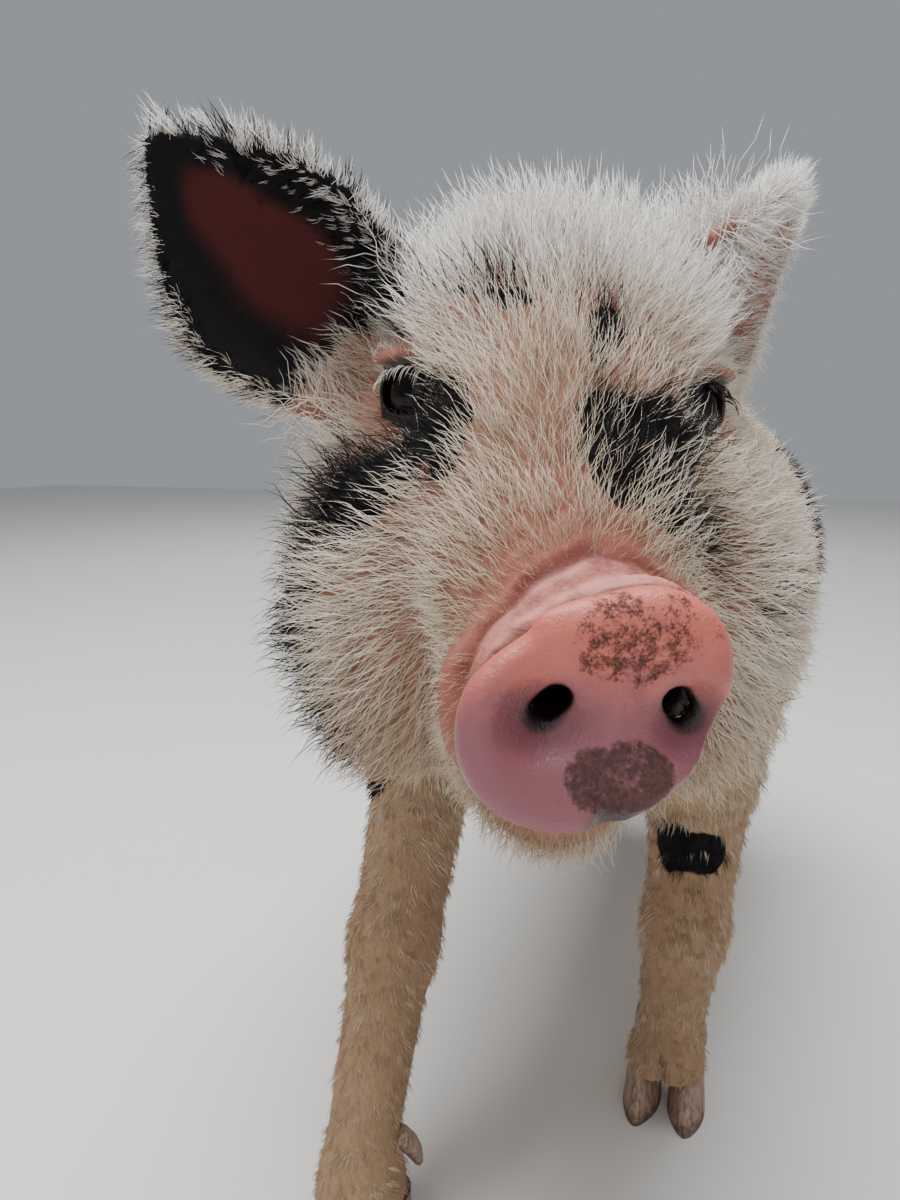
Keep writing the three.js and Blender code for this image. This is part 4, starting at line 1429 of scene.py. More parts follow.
class Graph:
    """Adds and links the nodes of one node tree."""

    def __init__(self, tree: Tree) -> None:
        """Starts on an empty tree."""
        self.tree = tree
        tree.nodes.clear()

    def add(self, kind: str, inputs: dict[Any, Any] | None = None, **settings: Any) -> bpy.types.Node:
        """Adds a node.

        Args:
            kind: The node's type.
            inputs: A socket to link or a value to set for each input, by name or number.
            settings: The node's own properties.

        Returns:
            The node.
        """
        node = self.tree.nodes.new(kind)
        for key, value in settings.items():
            setattr(node, key, value)
        for key, value in (inputs or {}).items():
            if isinstance(value, Socket):
                self.tree.links.new(value, node.inputs[key])
            else:
                node.inputs[key].default_value = value
        return node

    def math(self, operation: str, a: Any, b: Any = 0.0, c: Any = 0.0, clamp: bool = False) -> Socket:
        """Returns the result of a sum on up to three values."""
        return self.add("ShaderNodeMath", {0: a, 1: b, 2: c}, operation=operation, use_clamp=clamp).outputs[0]

    def times(self, a: Any, b: Any) -> Socket:
        """Returns the product of two values."""
        return self.math("MULTIPLY", a, b)

    def mix(self, share: Any, a: Any, b: Any) -> Socket:
        """Returns a mix of two colours, which may be given by their hex digits."""
        a, b = (colour(part) if isinstance(part, str) else part for part in (a, b))
        return self.add("ShaderNodeMix", {0: share, 6: a, 7: b}, data_type="RGBA").outputs[2]

    def value(self, name: str, share: float = 1.0) -> Socket:
        """Returns a value that the mesh carries, or a share of it."""
        carried = self.add("ShaderNodeAttribute", attribute_name=name).outputs["Fac"]
        return carried if share == 1.0 else self.times(carried, share)

    def noise(self, where: Any, scale: Any, detail: float = 3.0, rough: float = 0.55) -> Socket:
        """Returns a noise, from 0 to 1."""
        inputs = {"Vector": where, "Scale": scale, "Detail": detail, "Roughness": rough}
        return self.add("ShaderNodeTexNoise", inputs).outputs["Fac"]

    def step(self, value: Any, low: float, high: float) -> Socket:
        """Returns an eased step from 0 at low to 1 at high."""
        inputs = {"Value": value, "From Min": low, "From Max": high}
        return self.add("ShaderNodeMapRange", inputs, interpolation_type="SMOOTHSTEP").outputs[0]

    def surface(self, inputs: dict[str, Any]) -> None:
        """Ends a material with one surface that has the given inputs."""
        shader = self.add("ShaderNodeBsdfPrincipled", inputs)
        self.add("ShaderNodeOutputMaterial", {"Surface": shader.outputs[0]})


def new_material(name: str) -> tuple[Material, Graph, Socket]:
    """Starts a material.

    Args:
        name: The material's name.

    Returns:
        The material, its empty graph, and the place on the object.
    """
    material = bpy.data.materials.new(name)
    material.use_nodes = True
    g = Graph(material.node_tree)
    return material, g, g.add("ShaderNodeTexCoord").outputs["Object"]


def new_group(name: str, inputs: dict[str, float], outputs: Sequence[str]) -> tuple[Graph, Any, Any]:
    """Starts a shader group with numbers in and out.

    Args:
        name: The group's name.
        inputs: The inputs and what they start at.
        outputs: The outputs.

    Returns:
        The group's graph, the sockets that give its inputs, and the place on the object.
    """
    tree = bpy.data.node_groups.new(name, "ShaderNodeTree")
    for key, start in inputs.items():
        tree.interface.new_socket(key, in_out="INPUT", socket_type="NodeSocketFloat").default_value = start
    for key in outputs:
        tree.interface.new_socket(key, in_out="OUTPUT", socket_type="NodeSocketFloat")
    g = Graph(tree)
    return g, g.add("NodeGroupInput").outputs, g.add("ShaderNodeTexCoord").outputs["Object"]


def marking_group() -> Tree:
    """Builds the shared group that gives skin and hair the same dark markings and the same tan, which is
    partly painted shade low down.

    Returns:
        A group with the inputs Raggedness and Chance, and the outputs Dark and Warm.
    """
    g, given, where = new_group("Coat markings", {"Raggedness": 0.5, "Chance": 0.5}, ("Dark", "Warm"))
    ragged = g.math("SUBTRACT", g.noise(where, 330, 4, 0.7), 0.5)
    moved = g.math("MULTIPLY_ADD", ragged, given["Raggedness"], g.value("dark"))
    both = g.math("MULTIPLY_ADD", g.math("SUBTRACT", given["Chance"], 0.5), 0.45, moved)
    pale_one = g.step(g.math("ADD", given["Chance"], g.value("crossed")), 0.99, 1.01)
    dark = g.times(g.step(both, 0.36, 0.58), g.math("SUBTRACT", 1.0, pale_one))
    cloudy = g.math("SUBTRACT", g.noise(where, 60, 2), 0.5)
    # The tan: random cloudy tone over the tan mask, which is partly painted shade low down.
    warm = g.math("MULTIPLY_ADD", cloudy, 0.35, g.value("warm"))
    g.add("NodeGroupOutput", {"Dark": dark, "Warm": g.math("ADD", warm, clamp=True)})
    return g.tree


def mud_group() -> Tree:
    """Builds the shared group that breaks dirt up into crumbs and films.

    Returns:
        A group with the inputs Amount, Crumb Scale and Film Scale, and the output Mask.
    """
    inputs = {"Amount": 0.5, "Crumb Scale": 900.0, "Film Scale": 160.0}
    g, given, where = new_group("Dried mud", inputs, ("Mask",))
    crumbs = g.noise(where, given["Crumb Scale"], 4.0, 0.7)
    film = g.noise(where, given["Film Scale"], 5.0, 0.65)
    both = g.math("MULTIPLY_ADD", crumbs, 0.45, g.times(film, 0.55))
    line = g.math("SUBTRACT", 0.86, g.times(given["Amount"], 0.52))
    g.add("NodeGroupOutput", {"Mask": g.step(g.math("SUBTRACT", both, line), 0.0, 0.16)})
    return g.tree


@dataclass(frozen=True)
class SkinFinish:
    """The hide: pink skin with black patches, and the moist leather of the snout."""

    pale: str = "a67c6b"
    pale_low: str = "906658"
    cream: str = "c4a98b"
    cream_low: str = "9f7f66"
    flush: str = "95584b"
    # Skin tan, laid by the tan mask, which is partly painted shade low down.
    tan: str = "866a50"
    black: str = "0f0d10"
    black_worn: str = "1a1719"
    ear_red: str = "4a2220"
    lid_rim: str = "110b0b"
    disc_top: str = "cb6b5d"
    disc_low: str = "8a525a"
    # Painted shadow for the dish round each nostril.
    nostril: str = "5f2830"
    fold: str = "cd8379"
    fold_low: str = "a4645a"
    # Painted shade for the creases behind the disc.
    crease: str = "5e2723"
    mud: str = "2a1813"
    mud_pale: str = "4c2c22"
    # Painted shade for the inside of the nostril bores.
    deep: str = "180608"
    grey: str = "2e2728"

    def build(self, markings: Tree, dirt: Tree) -> Material:
        """Builds the material.

        Args:
            markings: The shared group of coat markings and of the tan that is partly painted shade.
            dirt: The shared group of dried mud.

        Returns:
            The material.
        """
        material, g, where = new_material("Piglet skin")
        on_disc = g.step(g.value("disc"), 0.3, 0.7)
        along = g.add("ShaderNodeMapping", {"Vector": where, "Scale": (1.0, 0.14, 0.7)}).outputs[0]
        upright = g.add("ShaderNodeMapping", {"Vector": where, "Scale": (1.0, 0.9, 0.14)}).outputs[0]
        streaks = g.mix(g.value("leg"), g.noise(along, 1100, 3, 0.7), g.noise(upright, 1300, 3, 0.7))
        base = self._hide(g, where, streaks, markings)
        base = self._folds(g, where, base)
        base = g.mix(on_disc, base, self._leather(g, where))
        soiled = g.times(self._mud(g, dirt), on_disc)
        soil = g.mix(g.step(g.noise(where, 900, 3, 0.7), 0.42, 0.6), self.mud, self.mud_pale)
        base = g.mix(g.times(soiled, 0.92), base, soil)
        # Painted shade inside the nostril bores.
        base = g.mix(g.value("deep"), base, self.deep)
        moist = g.math("SUBTRACT", 0.62, g.times(on_disc, 0.25))
        moist = g.math("SUBTRACT", moist, g.value("rim", 0.25))
        wet = g.math("MAXIMUM", g.value("bare"), g.value("rim"))
        g.surface({
            "Base Color": base,
            "Roughness": g.math("ADD", moist, g.times(soiled, 0.35)),
            "Normal": self._relief(g, where, streaks, soiled),
            "Subsurface Weight": 0.06,
            "Subsurface Scale": 0.002,
            "Specular IOR Level": g.math("MULTIPLY_ADD", wet, 0.4, 0.08),
        })
        return material

    def _hide(self, g: Graph, where: Any, streaks: Any, markings: Tree) -> Socket:
        """Colours the skin under the hair.

        Args:
            g: The material's graph.
            where: The place on the object.
            streaks: The streaks of the short coat between the tufts.
            markings: The shared group of coat markings and of the tan that is partly painted shade.

        Returns:
            The colour.
        """
        marks = g.add("ShaderNodeGroup", {"Raggedness": 0.5, "Chance": 0.5}, node_tree=markings)
        furred = g.mix(g.step(streaks, 0.34, 0.66), self.cream_low, self.cream)
        fleshy = g.mix(g.step(g.noise(where, 90, 4), 0.35, 0.75), self.pale, self.pale_low)
        base = g.mix(g.value("flesh"), furred, fleshy)
        # Tan, partly painted shade on the lower parts, the jaw and the muzzle.
        base = g.mix(g.times(marks.outputs["Warm"], 0.7), base, self.tan)
        base = g.mix(g.value("pink", 0.62), base, self.flush)
        black = g.mix(g.noise(where, 400, 3), self.black, self.black_worn)
        inner = g.times(g.value("ear_inside"), g.step(g.value("pink"), 0.05, 0.9))
        black = g.mix(g.times(inner, 0.95), black, self.ear_red)
        base = g.mix(marks.outputs["Dark"], base, black)
        return g.mix(g.value("rim", 0.95), base, self.lid_rim)

    def _folds(self, g: Graph, where: Any, base: Any) -> Socket:
        """Lays the bare muzzle with its folds over the hide, and paints shade into the creases behind the
        disc.

        Args:
            g: The material's graph.
            where: The place on the object.
            base: The hide's colour.

        Returns:
            The colour.
        """
        fold = g.mix(g.step(g.noise(where, 220, 4), 0.4, 0.7), self.fold, self.fold_low)
        base = g.mix(g.value("muzzle", 0.55), base, self.fold_low)
        base = g.mix(g.step(g.value("bare"), 0.3, 0.7), base, fold)
        # Painted shade in the creases behind the disc.
        return g.mix(g.value("crease", 0.8), base, self.crease)

    def _leather(self, g: Graph, where: Any) -> Socket:
        """Colours the disc's leather, with painted shadow in the dish round each nostril.

        Args:
            g: The material's graph.
            where: The place on the object.

        Returns:
            The colour, redder at the top.
        """
        cloudy = g.math("SUBTRACT", g.noise(where, 120, 3), 0.5)
        blush = g.math("MULTIPLY_ADD", cloudy, 0.9, g.value("disc_up"))
        leather = g.mix(g.step(blush, -0.25, 0.65), self.disc_low, self.disc_top)
        # Painted shadow in the dish round each nostril.
        leather = g.mix(g.value("nostril", 0.8), leather, self.nostril)
        return g.mix(g.value("grey", 0.85), leather, self.grey)

    def _mud(self, g: Graph, dirt: Tree) -> Socket:
        """Spreads films and crumbs of mud over the disc.

        Args:
            g: The material's graph.
            dirt: The shared group of dried mud.

        Returns:
            How muddy each place is.
        """
        films = {"Amount": g.value("mud"), "Crumb Scale": 700.0, "Film Scale": 170.0}
        crumbs = {"Amount": g.value("speckle"), "Crumb Scale": 1500.0, "Film Scale": 380.0}
        film, crumb = (g.add("ShaderNodeGroup", one, node_tree=dirt).outputs[0] for one in (films, crumbs))
        return g.math("MAXIMUM", g.times(film, 0.95), crumb)

    def _relief(self, g: Graph, where: Any, streaks: Any, soiled: Any) -> Socket:
        """Gives the skin pores, creases, streaks and crumbs of mud.

        Args:
            g: The material's graph.
            where: The place on the object.
            streaks: The streaks of the short coat between the tufts.
            soiled: How muddy each place is.

        Returns:
            The normal.
        """
        furred = g.math("SUBTRACT", 1.0, g.value("flesh"))
        creases = g.math("MULTIPLY_ADD", furred, streaks, g.noise(where, 420, 5, 0.65))
        height = g.math("MULTIPLY_ADD", creases, 0.6, g.times(g.noise(where, 1500, 2), 0.4))
        height = g.math("MULTIPLY_ADD", soiled, 0.35, height)
        return g.add("ShaderNodeBump", {"Height": height, "Strength": 0.7, "Distance": 0.0007}).outputs[0]


@dataclass(frozen=True)
class HairFinish:
    """Bristly hair, from white on the crown, partly painted light, to tan on the legs, partly painted shade,
    and black on the patches.
    """

    cream: str = "f0e0c8"
    # White, laid partly as painted light on the crown, and also on pale hairs and tips.
    white: str = "f7f4ef"
    # Hair tan, laid by the tan mask, which is partly painted shade low down.
    tan: str = "ab8a66"
    black: str = "0c0a0d"
    black_tip: str = "1f1b1d"
    rust: str = "6e4530"

    def build(self, markings: Tree) -> Material:
        """Builds the material.

        Args:
            markings: The shared group of coat markings and of the tan that is partly painted shade.

        Returns:
            The material.
        """
        material, g, _ = new_material("Piglet hair")
        tint, tip = g.value("tint"), g.value("tip")
        marks = g.add("ShaderNodeGroup", {"Raggedness": 0.0, "Chance": tint}, node_tree=markings)
        # Whiter on the crown and brow: partly the coat's own white, partly painted light from above.
        light = g.mix(g.value("cool", 0.9), self.cream, self.white)
        # Tan low down, on the jaw and on the muzzle: partly the coat's own tan, partly painted shade.
        light = g.mix(g.times(marks.outputs["Warm"], 0.85), light, self.tan)
        light = g.mix(g.times(g.step(tint, 0.55, 1.0), 0.35), light, self.white)
        light = g.mix(g.times(g.step(tint, 0.35, 0.0), 0.3), light, self.rust)
        light = g.mix(g.step(tip, 0.0, 0.45), g.mix(0.38, light, self.rust), light)
        light = g.mix(g.times(g.step(tip, 0.6, 1.0), 0.4), light, self.white)
        dark = g.mix(g.step(tip, 0.5, 1.0), self.black, self.black_tip)
        base = g.mix(marks.outputs["Dark"], light, dark)
        g.surface({"Base Color": base, "Roughness": 0.5, "Specular IOR Level": 0.22})
        return material


@dataclass(frozen=True)
class EyeFinish:
    """A wet, nearly black eye with a brown ring."""

    pupil: str = "050404"
    ring: str = "140a07"
    ring_low: str = "120a08"
    ring_edge: str = "0c0808"
    white: str = "120c0a"

    def build(self) -> Material:
        """Builds the material from the angle between each place and where the eye looks.

        Returns:
            The material.
        """
        material, g, where = new_material("Piglet eye")
        angle = g.value("angle")
        threads = g.mix(g.noise(where, 1400, 4), self.ring, self.ring_low)
        base = g.mix(g.step(angle, 0.22, 0.32), self.pupil, threads)
        base = g.mix(g.step(angle, 0.78, 0.95), base, self.ring_edge)
        base = g.mix(g.step(angle, 1.05, 1.2), base, self.white)
        g.surface({
            "Base Color": base,
            "Roughness": g.math("MULTIPLY_ADD", g.noise(where, 300, 2), 0.05, 0.12),
            "Coat Weight": 0.12,
            "Coat Roughness": 0.05,
            "Specular IOR Level": 0.16,
        })
        return material


@dataclass(frozen=True)
class HornFinish:
    """Tan claws with lengthwise streaks and dirt low down."""

    pale: str = "a78a78"
    streak: str = "6b5145"
    mud: str = "4c3a2e"

    def build(self, dirt: Tree) -> Material:
        """Builds the material.

        Args:
            dirt: The shared group of dried mud.

        Returns:
            The material.
        """
        material, g, where = new_material("Piglet claw")
        squeezed = g.add("ShaderNodeMapping", {"Vector": where, "Scale": (1.0, 1.0, 0.12)}).outputs[0]
        streaks = g.noise(squeezed, 700, 4, 0.6)
        base = g.mix(g.step(streaks, 0.35, 0.7), self.pale, self.streak)
        low = {"Amount": g.step(g.value("height"), 0.6, 0.0), "Crumb Scale": 800.0, "Film Scale": 200.0}
        soiled = g.add("ShaderNodeGroup", low, node_tree=dirt).outputs[0]
        bump = g.add("ShaderNodeBump", {"Height": streaks, "Strength": 0.5, "Distance": 0.0005})
        g.surface({
            "Base Color": g.mix(g.times(soiled, 0.7), base, self.mud),
            "Roughness": g.math("MULTIPLY_ADD", soiled, 0.3, 0.5),
            "Normal": bump.outputs[0],
        })
        return material


@dataclass(frozen=True)
class FloorFinish:
    """A plain pale studio floor."""

    shade: str = "dcdad6"
    shade_high: str = "e4e2df"

    def build(self) -> Material:
        """Builds the material.

        Returns:
            The material.
        """
        material, g, where = new_material("Studio floor")
        base = g.mix(g.noise(where, 3, 2), self.shade, self.shade_high)
        g.surface({"Base Color": base, "Roughness": 0.85})
        return material


@dataclass(frozen=True)
class Tuft:
    """A small tuft of round tapered hairs, one unit long, that leans along X over a skin facing Z."""

    name: str
    hairs: int
    rings: int
    thickness: float
    spread: float
    curl: float
    start_angle: float
    end_angle: float
    splay: float
    steps: int = 24

    def build(self, number: int) -> Thing:
        """Builds one tuft's mesh, with its tip shares and its own small map.

        Args:
            number: The tuft's number among those of its kind.

        Returns:
            The tuft, in no collection.
        """
        rng = np.random.default_rng(TUFT_SEED + number)
        points, faces, tips, maps = [], [], [], []
        for _ in range(self.hairs):
            self._hair(rng, points, faces, tips, maps)
        name = f"tuft_{self.name}_{number}"
        mesh = bpy.data.meshes.new(name)
        mesh.from_pydata(points, [], faces)
        mesh.shade_smooth()
        put(mesh, "tip", np.array(tips))
        put(mesh, "tuft_map", np.array(maps))
        return bpy.data.objects.new(name, mesh)

    def _line(self, rng: np.random.Generator) -> Array:
        """Draws one hair's middle line.

        Args:
            rng: The tuft's own chance.

        Returns:
            The points of the line, one more than there are steps.
        """
        long = rng.uniform(0.72, 1.0)
        root = vec(rng.uniform(-1, 1) * self.spread, rng.uniform(-1, 1) * self.spread, -0.05)
        heading = rng.normal(0, self.splay)
        rise = rng.normal(0, self.splay * 0.6)
        phase, waves = rng.uniform(0, 6.28), rng.uniform(0.7, 1.4)
        t = (np.arange(self.steps) + 0.5) / self.steps
        tilt = self.start_angle + (self.end_angle - self.start_angle) * t + rise
        side = heading + self.curl * np.cos(phase + waves * 2 * math.pi * t)
        ways = columns(np.cos(tilt) * np.cos(side), np.cos(tilt) * np.sin(side), np.sin(tilt))
        return root + np.concatenate([np.zeros((1, 3)), np.cumsum(ways * long / self.steps, 0)])

    def _hair(self, rng: np.random.Generator, points: list, faces: list, tips: list, maps: list) -> None:
        """Adds one hair.

        Args:
            rng: The tuft's own chance.
            points: The tuft's points so far.
            faces: Its faces.
            tips: Each point's share of the way to the tip.
            maps: Each point's place on the tuft's map.
        """
        first = len(points)
        line = self._line(rng)
        across = 0.5 + line[0, 1]
        for share in np.linspace(0, 1, self.rings + 1)[:-1]:
            at = round(share * self.steps)
            way = unit(line[min(at + 1, self.steps)] - line[max(at - 1, 0)])
            one = unit(np.cross(way, vec(0.13, 0.2, 1)))
            two = np.cross(way, one)
            size = self.thickness * (1 - 0.75 * share**1.6)
            for corner in range(3):
                a = corner * 2 * math.pi / 3 + 0.5
                points.append((line[at] + size * (math.cos(a) * one + math.sin(a) * two)).tolist())
                tips.append(float(share))
                maps.append((across + 0.04 * corner, float(share), 0.0))
        points.append(line[-1].tolist())
        tips.append(1.0)
        maps.append((across, 1.0, 0.0))
        for k in range(self.rings - 1):
            for corner in range(3):
                a, b = first + 3 * k + corner, first + 3 * k + (corner + 1) % 3
                faces.append([a, b, b + 3, a + 3])
        last = first + 3 * (self.rings - 1)
        for corner in range(3):
            faces.append([last + corner, last + (corner + 1) % 3, last + 3])


class Growth(Enum):
    """The kinds of hair."""

    SHORT = Tuft(
        "short", hairs=6, rings=2, thickness=0.025, spread=0.28,
        curl=0.12, start_angle=0.40, end_angle=0.03, splay=0.18,
    )
    BODY = Tuft(
        "body", hairs=5, rings=2, thickness=0.017, spread=0.24,
        curl=0.22, start_angle=0.46, end_angle=-0.03, splay=0.22,
    )
    LONG = Tuft(
        "long", hairs=4, rings=3, thickness=0.0098, spread=0.34,
        curl=0.38, start_angle=0.58, end_angle=-0.10, splay=0.20,
    )
    LASH = Tuft(
        "lash", hairs=2, rings=6, thickness=0.018, spread=0.03,
        curl=0.05, start_angle=0.55, end_angle=-0.95, splay=0.10,
    )

    def tufts(self) -> bpy.types.Collection:
        """Builds the kind's tufts.

        Returns:
            A loose collection with them.
        """
        group = bpy.data.collections.new("Tufts " + self.value.name)
        for number in range(TUFT_VARIANTS):
            group.objects.link(self.value.build(number))
        return group


class Scatter(Enum):
    """Where roots are put: over the faces, or at each point."""

    FACES = "faces"
    POINTS = "points"


def coat_tree(scatter: Scatter) -> Tree:
    """Builds the tree that plants tufts on a mesh, turned along the lie of the coat.

    Args:
        scatter: Where the roots are put.

    Returns:
        The tree, with named inputs for what differs between pieces.
    """
    tree = bpy.data.node_groups.new("Plant tufts on " + scatter.value, "GeometryNodeTree")
    face = tree.interface
    face.new_socket("Geometry", in_out="INPUT", socket_type="NodeSocketGeometry")
    face.new_socket("Tufts", in_out="INPUT", socket_type="NodeSocketCollection")
    for name in ("Tufts per Square Metre", "Length Spread", "Turn Spread", "Map Patch"):
        face.new_socket(name, in_out="INPUT", socket_type="NodeSocketFloat")
    face.new_socket("Seed", in_out="INPUT", socket_type="NodeSocketInt")
    face.new_socket("Material", in_out="INPUT", socket_type="NodeSocketMaterial")
    face.new_socket("Geometry", in_out="OUTPUT", socket_type="NodeSocketGeometry")
    g = Graph(tree)
    given = g.add("NodeGroupInput").outputs

    def carried(name: str, kind: str = "FLOAT") -> Socket:
        """Returns what the mesh carries under a name."""
        return g.add("GeometryNodeInputNamedAttribute", {"Name": name}, data_type=kind).outputs["Attribute"]

    def chance(low: float, high: float, offset: int) -> Socket:
        """Returns a random number for each root."""
        seed = g.add("FunctionNodeIntegerMath", {0: given["Seed"], 1: offset}, operation="ADD").outputs[0]
        inputs = {2: low, 3: high, "Seed": seed}
        return g.add("FunctionNodeRandomValue", inputs, data_type="FLOAT").outputs[1]

    if scatter is Scatter.FACES:
        thick = g.times(given["Tufts per Square Metre"], carried("density"))
        roots = g.add(
            "GeometryNodeDistributePointsOnFaces",
            {"Mesh": given["Geometry"], "Density": thick, "Seed": given["Seed"]},
            distribute_method="RANDOM",
        ).outputs["Points"]
    else:
        roots = g.add("GeometryNodeMeshToPoints", {"Mesh": given["Geometry"]}).outputs[0]
    tinted = g.add(
        "GeometryNodeStoreNamedAttribute",
        {"Geometry": roots, "Name": "tint", "Value": chance(0.0, 1.0, 5)},
        data_type="FLOAT",
        domain="POINT",
    ).outputs[0]
    outward, flow = (carried(name, "FLOAT_VECTOR") for name in ("outward", "flow"))
    aligned = g.add(
        "FunctionNodeAxesToRotation",
        {"Primary Axis": outward, "Secondary Axis": flow},
        primary_axis="Z",
        secondary_axis="X",
    ).outputs[0]
    turn = given["Turn Spread"]
    pitch = g.math("MULTIPLY_ADD", chance(-0.7, 0.7, 6), turn, g.times(carried("lift"), -1.0))
    swing = g.times(chance(-1.0, 1.0, 7), turn)
    roll = g.times(chance(-1.0, 1.0, 8), turn)
    euler = g.add("ShaderNodeCombineXYZ", {0: roll, 1: pitch, 2: swing}).outputs[0]
    extra = g.add("FunctionNodeEulerToRotation", {0: euler}).outputs[0]
    rotation = g.add("FunctionNodeRotateRotation", {0: aligned, 1: extra}, rotation_space="LOCAL").outputs[0]
    spread = g.math("MULTIPLY_ADD", chance(-1.0, 1.0, 9), given["Length Spread"], 1.0)
    size = g.times(g.times(carried("length"), spread), MM)
    apart = {"Collection": given["Tufts"], "Separate Children": True, "Reset Children": True}
    tufts = g.add("GeometryNodeCollectionInfo", apart).outputs[0]
    planted = g.add(
        "GeometryNodeInstanceOnPoints",
        {"Points": tinted, "Instance": tufts, "Pick Instance": True, "Rotation": rotation, "Scale": size},
    ).outputs[0]
    real = g.add("GeometryNodeRealizeInstances", {0: planted}).outputs[0]
    tuft_map, root_map = (carried(name, "FLOAT_VECTOR") for name in ("tuft_map", "root_map"))
    spots = {0: tuft_map, 1: given["Map Patch"], 2: root_map}
    offset = g.add("ShaderNodeVectorMath", spots, operation="MULTIPLY_ADD").outputs[0]
    mapped = g.add(
        "GeometryNodeStoreNamedAttribute",
        {"Geometry": real, "Name": "OFBake", "Value": offset},
        data_type="FLOAT2",
        domain="CORNER",
    ).outputs[0]
    dressed = g.add("GeometryNodeSetMaterial", {"Geometry": mapped, "Material": given["Material"]}).outputs[0]
    g.add("NodeGroupOutput", {0: dressed})
    return tree


def charts(points: Array, triangles: Array) -> Array:
    """Unwraps triangles by the side they face, and packs the sides into the unit square.

    Args:
        points: The mesh's points.
        triangles: Its triangles.

    Returns:
        The place on the map of each triangle's three corners.
    """
    normals = facings(points, triangles)
    axis = np.abs(normals).argmax(1)
    front = np.take_along_axis(normals, axis[:, None], 1)[:, 0] > 0
    chart = axis * 2 + front
    flat_axes = np.array([[1, 2], [0, 2], [0, 1]])[axis]
    flat = np.take_along_axis(points[triangles], flat_axes[:, None], 2)
    numbers = np.unique(chart)
    lows = np.array([flat[chart == c].min((0, 1)) for c in numbers])
    sizes = np.array([flat[chart == c].max((0, 1)) for c in numbers]) - lows + 2
    strip = math.sqrt(sizes.prod(1).sum()) * 1.15
    x = y = row = widest = 0.0
    spots = np.zeros_like(lows)
    for i in np.argsort(-sizes[:, 1]):
        if x + sizes[i, 0] > max(strip, sizes[:, 0].max()):
            x, y, row = 0.0, y + row, 0.0
        spots[i] = (x, y)
        x += sizes[i, 0]
        row = max(row, sizes[i, 1])
        widest = max(widest, x)
    where = np.searchsorted(numbers, chart)
    scale = 0.98 / max(widest, y + row)
    return (flat - lows[where][:, None] + 1 + spots[where][:, None]) * scale + 0.01


# Of these, the values for the creases, the nostril dishes and the nostril bores carry painted shade, and the
# tan value is partly painted shade.
SKIN_VALUES = (
    *("dark", "pink", "warm", "flesh", "leg", "bare", "crease", "muzzle"),
    *("disc", "disc_up", "deep", "nostril", "mud", "speckle", "grey", "ear_inside", "rim"),
)


@dataclass
class Hide:
    """The one skin over the whole pig, and what it carries for the coat."""

    head_cell: float = 1.95
    body_cell: float = 6.0
    leg_cell: float = 3.0
    coarse: float = 1.0

    def mesh(self) -> None:
        """Meshes the skin, finer over the head, and finest at the snout and eyes."""
        fine, wide, tall = (cell * self.coarse for cell in (self.head_cell, self.body_cell, self.leg_cell))
        xs = np.arange(-134, 106, fine)
        ys = np.concatenate([np.arange(-190, 15, fine), np.arange(15, 322, wide)])
        zs = np.concatenate([np.arange(-2, 128, tall), np.arange(128, 350, fine)])
        self.points, self.triangles = surface_nets(PIGLET.skin, (xs, ys, zs))
        snout = PIGLET.head.snout
        self._finer(snout.centre, 31)
        for eye in PIGLET.head.eyes:
            self._finer(eye.place.outward(vec(0, 0, 8)), 14)
        for side in (-1, 1):
            away = snout.nostril_shift + side * snout.nostril_spacing / 2
            self._finer(snout.place.outward(vec(away, -snout.nostril_drop, 0)), 9)
        for eye in PIGLET.head.eyes:
            self._finer(eye.place.outward(vec(0, 0, 9)), 11)

    def _finer(self, place: Array, size: float) -> None:
        """Splits the triangles near a place of the head once and settles the new points.

        Args:
            place: The place, in the head's frame.
            size: How far from it triangles are split.
        """
        close = norm(self.points[self.triangles].mean(1) - HEAD.outward(place)) < size
        points, self.triangles, old = refine(self.points, self.triangles, close)
        points[old:] = settle(PIGLET.skin, points[old:], steps=2)
        self.points = points

    def study(self) -> None:
        """Works out the markings and the lie of the coat at every point."""
        self.normals = point_normals(self.points, self.triangles)
        self.lie = Lie(self.points, self.normals)
        self.lie.work_out()
        rims = [eye.near_rim(self.lie.in_head) for eye in PIGLET.head.eyes]
        self.lie.values["rim"] = np.maximum.reduce(rims)

    def build(self, finish: Material) -> Thing:
        """Makes the skin's object.

        Args:
            finish: The skin's material.

        Returns:
            The skin, with its values and finish.
        """
        skin = make_object("piglet_skin", self.points, self.triangles)
        for name in SKIN_VALUES:
            put(skin.data, name, self.lie.values[name])
        skin.data.materials.append(finish)
        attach(skin, BODY)
        flesh = ["head", "snout", "ear_left", "ear_right", "neck", "torso", "tail"]
        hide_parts(*flesh, *("leg_" + leg.name for leg in LEGS))
        return skin


